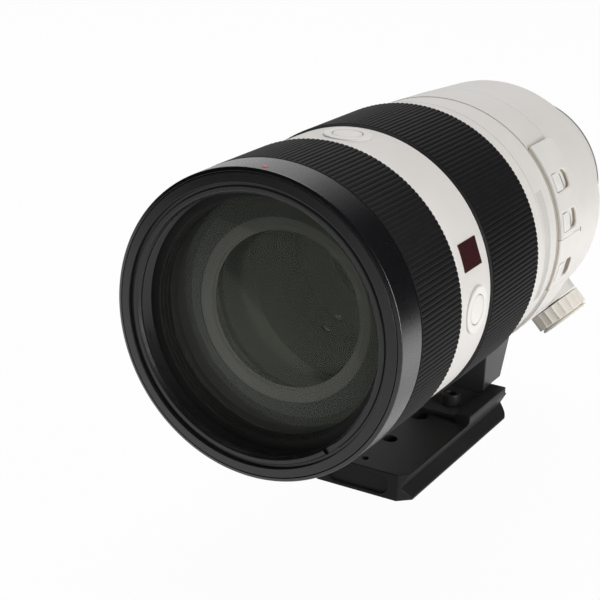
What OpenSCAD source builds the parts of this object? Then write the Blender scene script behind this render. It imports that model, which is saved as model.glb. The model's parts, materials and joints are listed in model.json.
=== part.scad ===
// Super-telephoto zoom lens with a rotating tripod collar and a dovetail foot.
// Millimetres. The optical axis is Y, the front looks towards -Y, +Z is up, and the
// origin is on the axis at the rear mount flange. Stations are measured from the front face.

/* [Barrel lengths] */
// Front face to the focus grip
front_l = 13; // [11:0.5:18]
// Focus ring
focus_l = 27.2; // [20:0.1:34]
// Pale band with the hold buttons
band_l = 22.2; // [20:0.1:30]
// Zoom ring
zoom_l = 37.5; // [30:0.1:46]
// Fixed ring behind the zoom ring
ring_l = 7.1; // [6:0.1:12]
// Torque ring
torque_l = 14.2; // [11:0.1:20]
// Rear barrel with the switch panel
rear_l = 19.6; // [18.5:0.1:26]
// Tripod collar
collar_l = 29; // [26:0.5:36]
// Tapered tail in front of the mount
tail_l = 27.7; // [25:0.1:34]

/* [Barrel diameters] */
// Front barrel
body_d = 92; // [91:0.5:97]
// Height of the rubber rib crests over the front barrel
grip_proud = 0.1; // [0:0.05:0.5]
// Step from the front barrel down to the pale band
band_drop = 0.6; // [0.2:0.1:1]
// Step from the front barrel down to the fixed ring
ring_drop = 1; // [0.5:0.1:1.3]
// Step from the front barrel down to the torque ring and the rear barrel
rear_drop = 1.6; // [1.2:0.1:2]
// Loss of radius along the rear barrel
rear_taper = 0.8; // [0.3:0.1:1.2]
// Loss of radius along the collar
collar_taper = 1.7; // [0.5:0.1:2]
// Tail at its rear shoulder
shoulder_d = 67.2; // [65:0.2:69]
// Tail at the mount
tail_end_d = 62.8; // [62:0.2:64.6]

/* [Walls and fits] */
// Rubber of a grip, ribs included
grip_t = 1.7; // [1.4:0.1:2.2]
// Depth of the ribs
rib_h = 0.4; // [0.3:0.05:0.9]
// Ribs round a grip
rib_n = 180; // [90:10:200]
// Sleeve of the focus ring
focus_sleeve_t = 1.7; // [1.4:0.1:2]
// Hub that carries the focus ring and the pale band
hub_t = 1.5; // [1.2:0.1:1.8]
// Sleeve of the zoom ring
zoom_sleeve_t = 3.1; // [2.6:0.1:3.4]
// Main tube
main_t = 1.4; // [1.2:0.1:1.8]
// Cam tube
cam_t = 1.4; // [1.2:0.1:1.6]
// Extension tube
ext_t = 1.3; // [1.1:0.1:1.6]
// Optics tube
optics_t = 1.2; // [1:0.1:1.6]
// Running gap between turning rings, across and along the axis
run_gap = 0.3; // [0.25:0.05:0.4]
// Seat clearance of a fixed part in its bore
seat_gap = 0.05; // [0.02:0.01:0.1]

/* [Zoom travel] */
// Turn of the zoom ring for the full travel
zoom_turn = 90; // [60:1:95]
// Diameter of a cam follower
follower_d = 3; // [2.4:0.1:3.4]
// Rearward travel of the variator
variator_travel = 18; // [10:1:19]
// Travel of the focus cell each way from rest
focus_travel = 4; // [2:0.5:4.5]

/* [Front optics] */
// Skin of the front barrel to the filter thread
filter_wall = 7.5; // [7:0.1:8]
// Filter thread, wall diameter
filter_d = body_d - 2 * filter_wall;
// Length of the filter thread wall
filter_l = 6.3; // [5:0.1:7]
// Skin of the front barrel to the edge of the front element
glass_wall = 9.7; // [9.5:0.1:11]
// Front element
glass_d = body_d - 2 * glass_wall;
// Bulge of the front element
glass_sag = 4.3; // [3:0.1:5]
// Edge of the front element to the hole in the stepped baffle behind it
baffle_wall = 13.4; // [11.5:0.1:16]
// Hole in the stepped baffle
baffle_d = glass_d - 2 * baffle_wall;

/* [Rear mount] */
// Mount flange
flange_d = 60.6; // [60:0.1:61.6]
// Thickness of the mount flange
flange_t = 2.5; // [2.2:0.1:3]
// Bayonet tube behind the flange
bayonet_d = 43.2; // [42:0.1:44]
// Clear throat of the bayonet
throat_d = 38; // [36:0.2:39]
// Length of the bayonet behind the flange
bayonet_l = 5.5; // [5:0.1:6.5]

/* [Buttons and switches] */
// Hold button
button_d = 9; // [8:0.1:10]
// Bezel round a hold button
bezel_d = 14.6; // [13:0.1:15]
// Press of a hold button
button_press = 0.7; // [0.5:0.1:0.9]
// Height of the switch panel over the rear barrel
panel_h = 1.3; // [1:0.1:1.8]
// Travel of a panel switch
switch_travel = 5.4; // [3:0.1:6]

/* [Collar and foot] */
// Optical axis to the base of the foot
foot_drop = 80; // [78:0.5:90]
// Dovetail plate, width
plate_w = 38; // [36:0.5:42]
// Dovetail plate, length
plate_l = 86.7; // [80:0.1:100]
// Dovetail plate, thickness
plate_t = 9.5; // [9:0.1:12]
// Front end of the plate ahead of the post
plate_reach = 74.2; // [70:0.1:78]
// Width of the post
post_w = 26.6; // [24:0.2:27]
// Depth of the post along the axis
post_l = 15.8; // [14.5:0.1:18]
// Lock knob
knob_d = 20; // [18:0.5:22]
// Angle of the lock knob from the top, towards +X
knob_angle = 135; // [125:1:140]

/* [Hidden] */

$fn = 96;
eps = 0.01;
cut = 1;
BLACK = [0.05, 0.05, 0.055];
PALE = [0.86, 0.85, 0.83];
RUBBER = [0.08, 0.08, 0.08];
STEEL = [0.7, 0.7, 0.72];
BRASS = [0.75, 0.6, 0.3];
GLASS = [0.35, 0.45, 0.4, 0.4];

// Stations along the axis
s_focus = front_l;
s_band = s_focus + focus_l;
s_zoom = s_band + band_l;
s_ring = s_zoom + zoom_l;
s_torque = s_ring + ring_l;
s_rear = s_torque + torque_l;
s_collar = s_rear + rear_l;
s_tail = s_collar + collar_l;
s_flange = s_tail + tail_l;
overall = s_flange + flange_t;

// Radii from the outside in
body_r = body_d / 2;
grip_r = body_r + grip_proud;
sleeve_r = grip_r - grip_t;
hub_r = sleeve_r - focus_sleeve_t - run_gap;
hub_bore = hub_r - hub_t;
band_r = body_r - band_drop;
ring_r = body_r - ring_drop;
rear_r = body_r - rear_drop;
collar_r = rear_r - rear_taper;
collar_end_r = collar_r - collar_taper;
main_r = sleeve_r - zoom_sleeve_t - run_gap;
main_bore = main_r - main_t;
cam_gap = 0.4;
cam_r = main_bore - cam_gap;
cam_bore = cam_r - cam_t;
ext_gap = 0.5;
ext_r = cam_bore - ext_gap;
ext_bore = ext_r - ext_t;
journal_bore = ext_r + cam_gap;
journal_r = journal_bore + ext_t;
liner_bore = journal_r + run_gap;
liner_t = 0.6;
liner_r = liner_bore + liner_t;
liner_end = 1.5;
optics_gap = 1.2;
optics_r = ext_bore - optics_gap;
optics_bore = optics_r - optics_t;
cell_gap = 0.4;
cell_r = optics_bore - cell_gap;

// Front ring, front cell and its glass
edge_chamfer = 1;
face_step = 1.25;
face_r = body_r - face_step;
lip_depth = 1.2;
filter_r = filter_d / 2;
lip_w = 2.6;
lip_r = filter_r + lip_w;
lip_chamfer = 1.7;
s_filter_end = lip_depth + filter_l;
glass_r = glass_d / 2;
glass_bore = glass_r + seat_gap;
glass_edge = 4;
glass_relief = 0.3;
retainer_l = 4.5;
retainer_lap = 0.9;
retainer_slope = 0.7;
retainer_in = glass_r - retainer_lap;
s_cell = s_filter_end + retainer_l;
s_glass_seat = s_cell + glass_edge;
front_cell_r = hub_bore - seat_gap;
seat_w = 2.8;
cone_r = glass_r - seat_w;
second_w = 5.5;
second_r = baffle_d / 2 + second_w;
baffle_rim = 2;
baffle_r = second_r + baffle_rim;
baffle_t = 1.5;
cone_l = 4.3;
s_baffle = s_glass_seat + cone_l;
s_second = s_baffle + baffle_t;
second_t = 6;
third_gap = 1.2;
s_third = s_second + second_t + third_gap;
third_t = 6;
cell_tail = 2;
s_cell_end = s_third + third_t + cell_tail;
shoulder_t = 2;
shoulder_w = 1.6;
shoulder_in = hub_bore - shoulder_w;
s_ext = s_cell_end;
ext_flange_t = 3;
s_ext_seat = s_ext + ext_flange_t;

// Cam slots, followers and the zoom key
follower_r = follower_d / 2;
follower_sink = 0.1;
zoom_web_l = 2.2;
s_main = s_zoom + zoom_web_l;
web_t = 1.5;
s_web = s_collar - run_gap - web_t;
stop_room = 4.2;
s_follower = s_web - stop_room;
zoom_travel = s_follower - s_main - stop_room;
slot_room = 0.2;
cam_slot_w = (follower_d + 4 * slot_room)
  * sqrt(1 + pow(cam_r * zoom_turn * PI / 180 / zoom_travel, 2));
follower_angles = [60, 180, 300];
ext_short = 3.8;
s_ext_end = s_tail - ext_short;
key_r = 2.5;
key_sink = 0.2;
zoom_lip_l = 0.9;
key_inset = 6.6;
s_key = s_ring - key_inset;
key_angle = 75;
key_room = 0.4;
journal_reach = 0.7;
s_journal_end = s_tail + journal_reach;

// Optics carried inside the extension tube, set out from the rear end of the main tube
rod_r = 1.5;
rod_fit = 0.05;
rod_inset = 3.6;
rod_circle = optics_bore - rod_inset;
rod_room = 0.3;
rod_angles = [30, 210];
rod_land = 2.5;
plate_hole_r = rod_circle - rod_r - rod_land;
s_optics_end = s_journal_end;
optics_flange_t = 3;
optics_l = 93;
s_optics = s_optics_end - optics_l;
variator_at = 9;
s_variator = s_optics + variator_at;
variator_l = 10;
iris_at = 42;
s_iris = s_optics + iris_at;
iris_l = 7;
focus_at = 56;
s_focus_cell = s_optics + focus_at;
focus_cell_l = 6;
steady_at = 70;
s_steady = s_optics + steady_at;
steady_l = 10;
variator_wall = 6.5;
variator_r = plate_hole_r - variator_wall;
iris_wall = 1.5;
iris_land = 3;
iris_room_r = rod_circle - iris_land;
iris_depth = 12;
iris_open_r = iris_room_r - iris_depth;
motor_depth = 9.2;
motor_r = cell_r - motor_depth;
focus_wall = 8;
focus_r = motor_r - focus_wall;
steady_land = 4.5;
steady_room_r = rod_circle - steady_land;
steady_lip_h = 2.5;
steady_lip_r = steady_room_r - steady_lip_h;
steady_wall = 9;
steady_r = steady_lip_r - steady_wall;
steady_lip_t = 2;
steady_lap = 1;
slide_w = 4;
slide_t = 2.5;
s_slide = s_steady + steady_lip_t + run_gap;
s_steady_cell = s_slide + slide_t + run_gap;
coil_t = 2.2;
coil_w = 8;
coil_gap = 0.4;
magnet_w = 10;
magnet_room = 1.5;
rear_room = 1.5;
rear_cell_r = throat_d / 2 - rear_room;
rear_wall_t = 3;
rear_glass_r = rear_cell_r - rear_wall_t;
rear_inset = 4;
s_rear_cell_end = s_flange - rear_inset;

// Buttons, badge and switches
button_at = 11.86;
s_button = s_band + button_at;
button_r = button_d / 2;
bezel_r = bezel_d / 2;
bezel_proud = 0.4;
cap_proud = 0.3;
button_angles = [0, 90, 270];
stem_r = 2;
button_gap = 0.2;
pocket_web = 0.9;
pocket_floor = hub_r + pocket_web;
badge_l = 12.2;
badge_w = 8.5;
badge_t = 0.5;
badge_angle = 68.5;
badge_at = 11.2;
s_badge = s_band + badge_at;
panel_r = rear_r + panel_h;
panel_from = 44;
panel_to = 109.5;
pad_to = 146;
s_panel = s_rear + run_gap;
panel_end = 1.3;
panel_l = rear_l - run_gap - panel_end;
panel_sink = 0.2;
panel_base = collar_r - panel_sink;
panel_split = 86;
panel_step = 0.4;
switch_l = 6.2;
switch_w = 6;
switch_room = 0.2;
switch_sink = 0.6;
switch_floor = panel_base - switch_sink;
switch_head = 0.2;
switch_angles = [62.4, 79.4, 101.5];
switch_at = 8.2;
s_switch = s_panel + switch_at;

// Mount screws
mount_screw_r = 1.6;
mount_screw_inset = 4;
mount_screw_circle = flange_d / 2 - mount_screw_inset;
mount_screw_angles = [45, 135, 225, 315];

// Collar, knob and foot
lug_inset = 2;
lug_w = post_w - 2 * lug_inset;
post_at = 5.7;
s_post = s_collar + post_at;
lug_drop = 3.4;
post_top = collar_r + lug_drop;
lug_more = 3;
lug_l = post_l + lug_more;
knob_t = 5.6;
knob_stand = 2.2;
knob_base = collar_r + knob_stand;
boss_inset = 0.3;
knob_boss_r = knob_d / 2 - boss_inset;
knob_stem_r = 2.5;
knob_fit = 0.05;
knob_gap = 0.5;
tip_gap = 0.2;
knob_tip = liner_r + tip_gap;
knob_at = 17.7;
s_knob = s_collar + knob_at;
flute_n = 16;
flute_r = 3.4;
flute_d = 0.45;
plate_top = foot_drop - plate_t;
groove_d = 3.4;
groove_land = 0.8;
groove_land_top = 1.4;
rail_h = 3.9;
rail_l = 33;
s_plate = s_post - plate_reach;
rail_at = 48.7;
s_rail = s_plate + rail_at;
corner = 4;
tongue_t = 2;
tongue_l = 22.5;
foot_screw_x = 6.8;
foot_screw_at = 11;
s_foot_screw = s_rail + foot_screw_at;
foot_screw_r = 2;
foot_head_r = 3.3;
foot_head_h = 4.4;
foot_screw_l = 5.5;
foot_hole_l = 6;
foot_screw_xs = [-foot_screw_x, foot_screw_x];
hex_r = 2.2;
hex_floor = 2;

// Places its children at a station
module at_s(s) { translate([0, s - overall, 0]) children(); }

// Turns an outline of radius and station points about the optical axis
module turned() { at_s(0) rotate([-90, 0, 0]) rotate_extrude() children(); }

// As turned(), between two angles measured from the top towards +X
module turned_arc(from, to) {
  at_s(0) rotate([-90, 0, 0]) rotate([0, 0, from - 90]) rotate_extrude(angle = to - from) children();
}

// Points +Z outwards along a radius, at an angle from the top and a station
module radial(angle, s) { at_s(s) rotate([0, angle, 0]) children(); }

// A plain ring between two radii and two stations
module ring(r_out, r_in, from, to) {
  turned() translate([r_in, from]) square([r_out - r_in, to - from]);
}

// A lens blank: edge radius, edge station and thickness, and the bulge of each face
module lens_blank(r, s, t, front_sag, rear_sag) {
  function ball(sag) = (r * r + sag * sag) / (2 * abs(sag));
  front_room = max(front_sag, 0);
  rear_room = max(rear_sag, 0);
  front_mid = s - front_sag + sign(front_sag) * ball(front_sag);
  rear_mid = s + t + rear_sag - sign(rear_sag) * ball(rear_sag);
  module blank() { translate([0, s - front_room]) square([r, t + front_room + rear_room]); }
  module face(middle, sag) { translate([0, middle]) circle(r = ball(sag), $fn = 720); }
  turned() difference() {
    intersection() {
      blank();
      if (front_sag > 0) face(front_mid, front_sag); else blank();
      if (rear_sag > 0) face(rear_mid, rear_sag); else blank();
    }
    if (front_sag < 0) face(front_mid, front_sag);
    if (rear_sag < 0) face(rear_mid, rear_sag);
  }
}

// Rubber ring with straight ribs along the axis
module ribbed_ring(from, to) {
  pitch = 360 / rib_n;
  root_r = grip_r - rib_h;
  function spot(r, a) = [r * cos(a), r * sin(a)];
  outline = [for (i = [0 : rib_n - 1]) each [
    spot(grip_r, (i + 0.06) * pitch), spot(grip_r, (i + 0.50) * pitch),
    spot(root_r, (i + 0.62) * pitch), spot(root_r, (i + 0.94) * pitch)]];
  at_s(from) rotate([-90, 0, 0]) linear_extrude(to - from) difference() {
    polygon(outline);
    circle(r = sleeve_r, $fn = 360);
  }
}

// Holes for the two guide rods through a cell
module rod_holes(r, from, to) {
  for (a = rod_angles) radial(a, from)
    translate([0, -cut, rod_circle]) rotate([-90, 0, 0]) cylinder(r = r, h = to - from + 2 * cut);
}

// Front barrel: outer skin, hub under the focus ring, and the rear web round the extension tube
module front_barrel() color(BLACK) difference() {
  web = 2;
  hub_end = s_zoom - run_gap;
  turned() polygon([[face_r, 0], [body_r, edge_chamfer], [body_r, s_focus], [hub_r, s_focus],
    [hub_r, hub_end], [ext_r + seat_gap, hub_end], [ext_r + seat_gap, hub_end - web],
    [hub_bore, hub_end - web], [hub_bore, s_ext_seat + shoulder_t],
    [shoulder_in, s_ext_seat + shoulder_t], [shoulder_in, s_ext_seat], [hub_bore, s_ext_seat],
    [hub_bore, s_filter_end], [face_r, s_filter_end]]);
  hood_index_dot();
}

// Front ring that carries the filter thread, with the hood lock notch
module filter_ring() color(BLACK) difference() {
  notch_angle = 141;
  notch = [7, 1.4, 1.2];
  turned() polygon([[lip_r, 0], [face_r - seat_gap, 0], [face_r - seat_gap, s_filter_end],
    [filter_r, s_filter_end], [filter_r, lip_depth], [lip_r - lip_chamfer, lip_depth]]);
  radial(notch_angle, 0) translate([-notch[0] / 2, -cut, lip_r - 1])
    cube([notch[0], notch[1] + cut, notch[2]]);
}

// Ring that holds the front element down on its seat
module retaining_ring() color(BLACK) turned() polygon([[front_cell_r, s_filter_end],
  [front_cell_r, s_cell], [retainer_in, s_cell], [retainer_in + retainer_slope, s_filter_end]]);

// Stepped cell for the three front elements
module front_cell() color(BLACK) turned() polygon([[front_cell_r, s_cell], [glass_bore, s_cell],
  [glass_bore, s_glass_seat], [cone_r, s_glass_seat], [baffle_r + seat_gap, s_baffle - 0.6],
  [baffle_r + seat_gap, s_second], [second_r + seat_gap, s_second],
  [second_r + seat_gap, s_third - third_gap], [second_r - 1.5, s_third - third_gap],
  [second_r - 1.5, s_third], [second_r + seat_gap, s_third], [second_r + seat_gap, s_cell_end],
  [front_cell_r, s_cell_end]]);

module front_element() color(GLASS) lens_blank(glass_r, s_cell + glass_relief,
  glass_edge - glass_relief, glass_sag, -1.5);

// Stepped baffle between the front element and the second
module baffle_ring() color([0.2, 0.2, 0.2]) {
  step = 0.8;
  hole_r = baffle_d / 2;
  turned() polygon([[baffle_r, s_baffle], [baffle_r, s_second], [hole_r + step, s_second],
    [hole_r + step, s_second - 0.5], [hole_r, s_second - 0.5], [hole_r, s_baffle - 0.5],
    [hole_r + step, s_baffle - 0.5], [hole_r + 2 * step, s_baffle]]);
}

module second_element() color(GLASS) lens_blank(second_r, s_second, second_t, -1.2, -1.5);

module third_element() color(GLASS) lens_blank(second_r, s_third, third_t, -1, 1.5);

// Red dot that lines up the hood
module hood_index_dot() color([0.7, 0.08, 0.1]) {
  dot_r = 0.8;
  dot_depth = 0.4;
  s_dot = 3.9;
  radial(0, s_dot) translate([0, 0, body_r - dot_depth])
    cylinder(r = dot_r, h = dot_depth + 0.1, $fn = 24);
}

module focus_sleeve() color(BLACK)
  ring(sleeve_r, hub_r + run_gap, s_focus + run_gap, s_band - run_gap);

module focus_grip() color(RUBBER) ribbed_ring(s_focus + run_gap, s_band - run_gap);

// Pale band, bored for the three hold buttons and recessed for the badge plate
module pale_band() color(PALE) difference() {
  ring(band_r, hub_r + seat_gap, s_band, s_zoom - run_gap);
  for (a = button_angles) radial(a, s_button) {
    translate([0, 0, pocket_floor]) cylinder(r = bezel_r, h = 5);
    cylinder(r = stem_r + button_gap, h = body_r);
  }
  radial(badge_angle, s_badge) translate([-badge_w / 2, -badge_l / 2, band_r - badge_t])
    cube([badge_w, badge_l, 2]);
}

// Bare plate let into the pale band
module badge_plate() color([0.15, 0.05, 0.06]) radial(badge_angle, s_badge)
  translate([-badge_w / 2, -badge_l / 2, band_r - badge_t]) cube([badge_w, badge_l, badge_t]);

// Three bezels, flat on top
module button_bezels() color(PALE) for (a = button_angles) radial(a, s_button) difference() {
  translate([0, 0, pocket_floor]) cylinder(r = bezel_r, h = band_r + bezel_proud - pocket_floor);
  translate([0, 0, pocket_floor - cut]) cylinder(r = button_r + button_gap, h = 6);
}

// One hold button: a domed cap on a stem
module hold_button(angle) color(PALE) radial(angle, s_button) {
  stem_base = hub_r + button_press + button_gap;
  cap_base = pocket_floor + button_press + button_gap;
  dome = 0.35;
  ball = (button_r * button_r + dome * dome) / (2 * dome);
  intersection() {
    translate([0, 0, cap_base]) cylinder(r = button_r, h = 6);
    translate([0, 0, band_r + cap_proud + dome - ball]) sphere(r = ball);
  }
  translate([0, 0, stem_base]) cylinder(r = stem_r, h = cap_base + eps - stem_base);
}
module hold_button_top() hold_button(button_angles[0]);
module hold_button_right() hold_button(button_angles[1]);
module hold_button_left() hold_button(button_angles[2]);

// Tube that carries the front barrel, drilled for the cam followers
module extension_tube() color(BLACK) difference() {
  turned() polygon([[ext_bore, s_ext], [hub_bore - seat_gap, s_ext],
    [hub_bore - seat_gap, s_ext_seat], [ext_r, s_ext_seat],
    [ext_r, s_ext_end], [ext_bore, s_ext_end]]);
  for (a = follower_angles) radial(a, s_follower)
    translate([0, 0, ext_bore - cut]) cylinder(r = follower_r, h = ext_t + 2 * cut);
}

module cam_followers() color(BRASS) for (a = follower_angles) radial(a, s_follower)
  translate([0, 0, ext_bore + follower_sink])
    cylinder(r = follower_r, h = main_r - ext_bore - 2 * follower_sink);

// Sleeve of the zoom ring, with a smooth lip in front of the rubber
module zoom_sleeve() color(BLACK) difference() {
  lip_top = grip_r - 0.2;
  inner = main_r + run_gap;
  to = s_ring - run_gap;
  turned() polygon([[ext_r + run_gap, s_zoom], [band_r, s_zoom], [lip_top, s_zoom + 0.6],
    [lip_top, s_zoom + zoom_lip_l], [sleeve_r, s_zoom + zoom_lip_l], [sleeve_r, to], [inner, to],
    [inner, s_main - run_gap], [ext_r + run_gap, s_main - run_gap]]);
  radial(key_angle, s_key) cylinder(r = key_r, h = sleeve_r + cut);
}

module zoom_grip() color(RUBBER) ribbed_ring(s_zoom + zoom_lip_l, s_ring - run_gap);

// Cam tube with three helical slots for the followers
module cam_tube() color(BRASS) difference() {
  ends = follower_r + slot_room;
  slot_l = zoom_travel + 2 * ends;
  slot_turn = zoom_turn * slot_l / zoom_travel;
  rest_turn = zoom_turn * (zoom_travel + ends) / zoom_travel;
  ring(cam_r, cam_bore, s_main, s_web - run_gap);
  for (a = follower_angles) at_s(s_follower - zoom_travel - ends) rotate([-90, 0, 0])
    rotate([0, 0, a - 90 - rest_turn])
      linear_extrude(slot_l, twist = -slot_turn, slices = 30, segments = 4)
        translate([cam_bore - cut, -cam_slot_w / 2]) square([cam_t + 2 * cut, cam_slot_w]);
  radial(key_angle, s_key) cylinder(r = key_r, h = cam_r + cut);
}

// Pin that turns the cam tube with the zoom ring
module zoom_key() color(STEEL) radial(key_angle, s_key) translate([0, 0, cam_bore + key_sink])
  cylinder(r = key_r, h = sleeve_r - cam_bore - 2 * key_sink);

// Main tube: guide slots, window for the zoom key, and the journal under the collar
module main_tube() color(BLACK) difference() {
  key_half = asin((key_r + key_room) / main_bore);
  slot_from = s_follower - zoom_travel - follower_r - slot_room;
  slot_l = zoom_travel + 2 * (follower_r + slot_room);
  turned() polygon([[main_bore, s_main], [main_r, s_main], [main_r, s_web + web_t],
    [journal_r, s_web + web_t], [journal_r, s_journal_end], [journal_bore, s_journal_end],
    [journal_bore, s_web], [main_bore, s_web]]);
  for (a = follower_angles) radial(a, slot_from)
    translate([-follower_r - slot_room, 0, main_bore - cut])
      cube([follower_d + 2 * slot_room, slot_l, main_t + 2 * cut]);
  turned_arc(key_angle - key_half, key_angle + zoom_turn + key_half)
    translate([main_bore - cut, s_key - key_r - key_room])
      square([main_t + 2 * cut, 2 * (key_r + key_room)]);
}

module fixed_ring() color(PALE) ring(ring_r, main_r + seat_gap, s_ring, s_torque);

// Torque ring that sets the drag of the zoom ring
module torque_ring() color(PALE) turned() polygon([[main_r + run_gap, s_torque + run_gap],
  [ring_r, s_torque + run_gap], [rear_r, s_rear - run_gap], [main_r + run_gap, s_rear - run_gap]]);

// Cuts the floor pockets in which the panel switches slide
module switch_cuts(r) {
  for (a = switch_angles) radial(a, s_switch)
    translate([-switch_w / 2 - switch_room, -(switch_l + switch_travel) / 2 - switch_room, r])
      cube([switch_w + 2 * switch_room, switch_l + switch_travel + 2 * switch_room, 6]);
}

// Rear barrel, with a raised pad that carries on from the lower end of the switch panel
module rear_barrel() color(PALE) difference() {
  union() {
    turned() polygon([[main_r + seat_gap, s_rear], [rear_r, s_rear], [collar_r, s_collar - run_gap],
      [main_r + seat_gap, s_collar - run_gap]]);
    turned_arc(panel_to, pad_to) translate([panel_base, s_panel])
      square([panel_r - panel_step - panel_base, panel_l]);
  }
  turned_arc(panel_from, panel_to) translate([panel_base, s_panel]) square([5, panel_l]);
  switch_cuts(switch_floor);
}

// Raised panel let into the rear barrel, with a step between its two halves
module switch_panel() color(PALE) difference() {
  tall = panel_r - panel_base;
  union() {
    turned_arc(panel_from, panel_split) translate([panel_base, s_panel]) square([tall, panel_l]);
    turned_arc(panel_split - 1, panel_to) translate([panel_base, s_panel])
      square([tall - panel_step, panel_l]);
  }
  switch_cuts(switch_floor);
}

// One panel switch at its forward stop
module panel_switch(angle) color(PALE) radial(angle, s_switch) {
  tall = panel_r + switch_head - switch_floor - run_gap;
  groove_pitch = 1.4;
  groove_w = 0.5;
  groove_deep = 0.3;
  translate([-switch_w / 2, -(switch_l + switch_travel) / 2, switch_floor + run_gap])
    difference() {
      cube([switch_w, switch_l, tall]);
      for (i = [-1, 0, 1])
        translate([-cut, switch_l / 2 + i * groove_pitch - groove_w / 2, tall - groove_deep])
          cube([switch_w + 2 * cut, groove_w, 1]);
    }
}
module focus_switch() panel_switch(switch_angles[0]);
module range_switch() panel_switch(switch_angles[1]);
module steady_switch() panel_switch(switch_angles[2]);

// Tube for the rear optics, with an end plate at each end for the guide rods
module optics_tube() color(BLACK) difference() {
  end_t = 3;
  s_seat = s_optics_end - optics_flange_t;
  turned() polygon([[plate_hole_r, s_optics], [optics_r, s_optics], [optics_r, s_seat],
    [journal_bore - seat_gap, s_seat], [journal_bore - seat_gap, s_optics_end],
    [plate_hole_r, s_optics_end], [plate_hole_r, s_optics_end - end_t],
    [optics_bore, s_optics_end - end_t], [optics_bore, s_optics + end_t],
    [plate_hole_r, s_optics + end_t]]);
  rod_holes(rod_r, s_optics, s_optics_end);
}

module guide_rods() color(STEEL) for (a = rod_angles) radial(a, s_optics + 0.5)
  translate([0, 0, rod_circle]) rotate([-90, 0, 0])
    cylinder(r = rod_r, h = s_optics_end - s_optics - 1);

// A sliding cell on the two rods
module rod_cell(r_in, s, l) difference() {
  ring(cell_r, r_in + seat_gap, s, s + l);
  rod_holes(rod_r + rod_fit, s, s + l);
}

module variator_cell() color(BLACK) rod_cell(variator_r, s_variator, variator_l);

module variator_glass() color(GLASS) {
  inset = 2;
  hollow = -2;
  lens_blank(variator_r, s_variator + inset, variator_l - 2 * inset, hollow, hollow);
}

// Housing of the iris, open in the middle and hollow for the blades
module iris_unit() color(BLACK) difference() {
  turned() polygon([[iris_open_r, s_iris], [optics_bore - seat_gap, s_iris],
    [optics_bore - seat_gap, s_iris + iris_l], [iris_open_r, s_iris + iris_l],
    [iris_open_r, s_iris + iris_l - iris_wall], [iris_room_r, s_iris + iris_l - iris_wall],
    [iris_room_r, s_iris + iris_wall], [iris_open_r, s_iris + iris_wall]]);
  rod_holes(rod_r + rod_room, s_iris, s_iris + iris_l);
}

// Nine curved blades, drawn back to the open stop
module iris_blades() color([0.12, 0.12, 0.13]) {
  blade_n = 9;
  blade_t = 0.3;
  blade_in = iris_open_r + 1;
  blade_out = iris_room_r - 2;
  sweep = 34;
  for (i = [0 : blade_n - 1]) turned_arc(i * 360 / blade_n, i * 360 / blade_n + sweep)
    translate([blade_in, s_iris + iris_wall]) square([blade_out - blade_in, blade_t]);
}

// Focus cell, notched at the bottom for the motor
module focus_cell() color(BLACK) difference() {
  rod_cell(focus_r, s_focus_cell, focus_cell_l);
  radial(180, s_focus_cell - cut) translate([-magnet_w / 2 - magnet_room, 0, motor_r])
    cube([magnet_w + 2 * magnet_room, focus_cell_l + 2 * cut, motor_depth + cut]);
}

module focus_glass() color(GLASS) {
  inset = 1;
  front_bulge = 1.5;
  rear_bulge = 1;
  lens_blank(focus_r, s_focus_cell + inset, focus_cell_l - 2 * inset, front_bulge, rear_bulge);
}

// Moving coil on the focus cell
module focus_coil() color([0.6, 0.3, 0.12]) radial(180, s_focus_cell)
  translate([-coil_w / 2, 0, motor_r]) cube([coil_w, focus_cell_l, coil_t]);

// Magnet bar of the linear motor, fixed to the optics tube
module focus_magnet() color(STEEL) {
  bar_l = focus_cell_l + 2 * (focus_travel + magnet_room);
  bar_in = motor_r + coil_t + coil_gap;
  bar_out = sqrt(pow(optics_bore, 2) - pow(magnet_w / 2, 2));
  radial(180, s_focus_cell + focus_cell_l / 2 - bar_l / 2) translate([-magnet_w / 2, 0, bar_in])
    cube([magnet_w, bar_l, bar_out - bar_in]);
}

// Image stabiliser: fixed frame, cross slide, and the cell that rides on it
module steady_frame() color(BLACK) difference() {
  s_end = s_steady + steady_l;
  turned() polygon([[steady_lip_r, s_steady], [optics_bore - seat_gap, s_steady],
    [optics_bore - seat_gap, s_end], [steady_lip_r, s_end], [steady_lip_r, s_end - steady_lip_t],
    [steady_room_r, s_end - steady_lip_t], [steady_room_r, s_steady + steady_lip_t],
    [steady_lip_r, s_steady + steady_lip_t]]);
  rod_holes(rod_r + rod_room, s_steady, s_steady + steady_l);
}

module steady_slide() color(STEEL)
  ring(steady_lip_r + steady_lap, steady_lip_r - slide_w, s_slide, s_slide + slide_t);

module steady_cell() color(BLACK)
  ring(steady_lip_r - steady_lap, steady_r + seat_gap, s_steady_cell, s_steady_cell + slide_t);

module steady_glass() color(GLASS) {
  inset = 0.2;
  edge = 2;
  front_bulge = 1;
  rear_hollow = -0.8;
  lens_blank(steady_r, s_steady_cell + inset, edge, front_bulge, rear_hollow);
}

// Tapered tail with a flat rear wall for the mount
module tail_barrel() color(PALE) difference() {
  wall = 2.2;
  rear_wall = 3;
  neck = 4;
  shoulder_l = 6.5;
  lead = 0.4;
  mouth = 1.5;
  s_shoulder = s_flange - shoulder_l;
  inner = journal_bore - 2.5;
  turned() polygon([[journal_r, s_journal_end], [journal_r, s_tail + run_gap],
    [journal_r + lead, s_tail + run_gap], [inner + wall, s_tail + neck],
    [shoulder_d / 2, s_shoulder], [tail_end_d / 2, s_flange],
    [throat_d / 2 + mouth, s_flange], [throat_d / 2 + mouth, s_flange - rear_wall],
    [tail_end_d / 2 - wall, s_flange - rear_wall], [shoulder_d / 2 - wall, s_shoulder - 1],
    [inner, s_tail + neck], [inner, s_journal_end]]);
  mount_index_dot();
}

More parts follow.
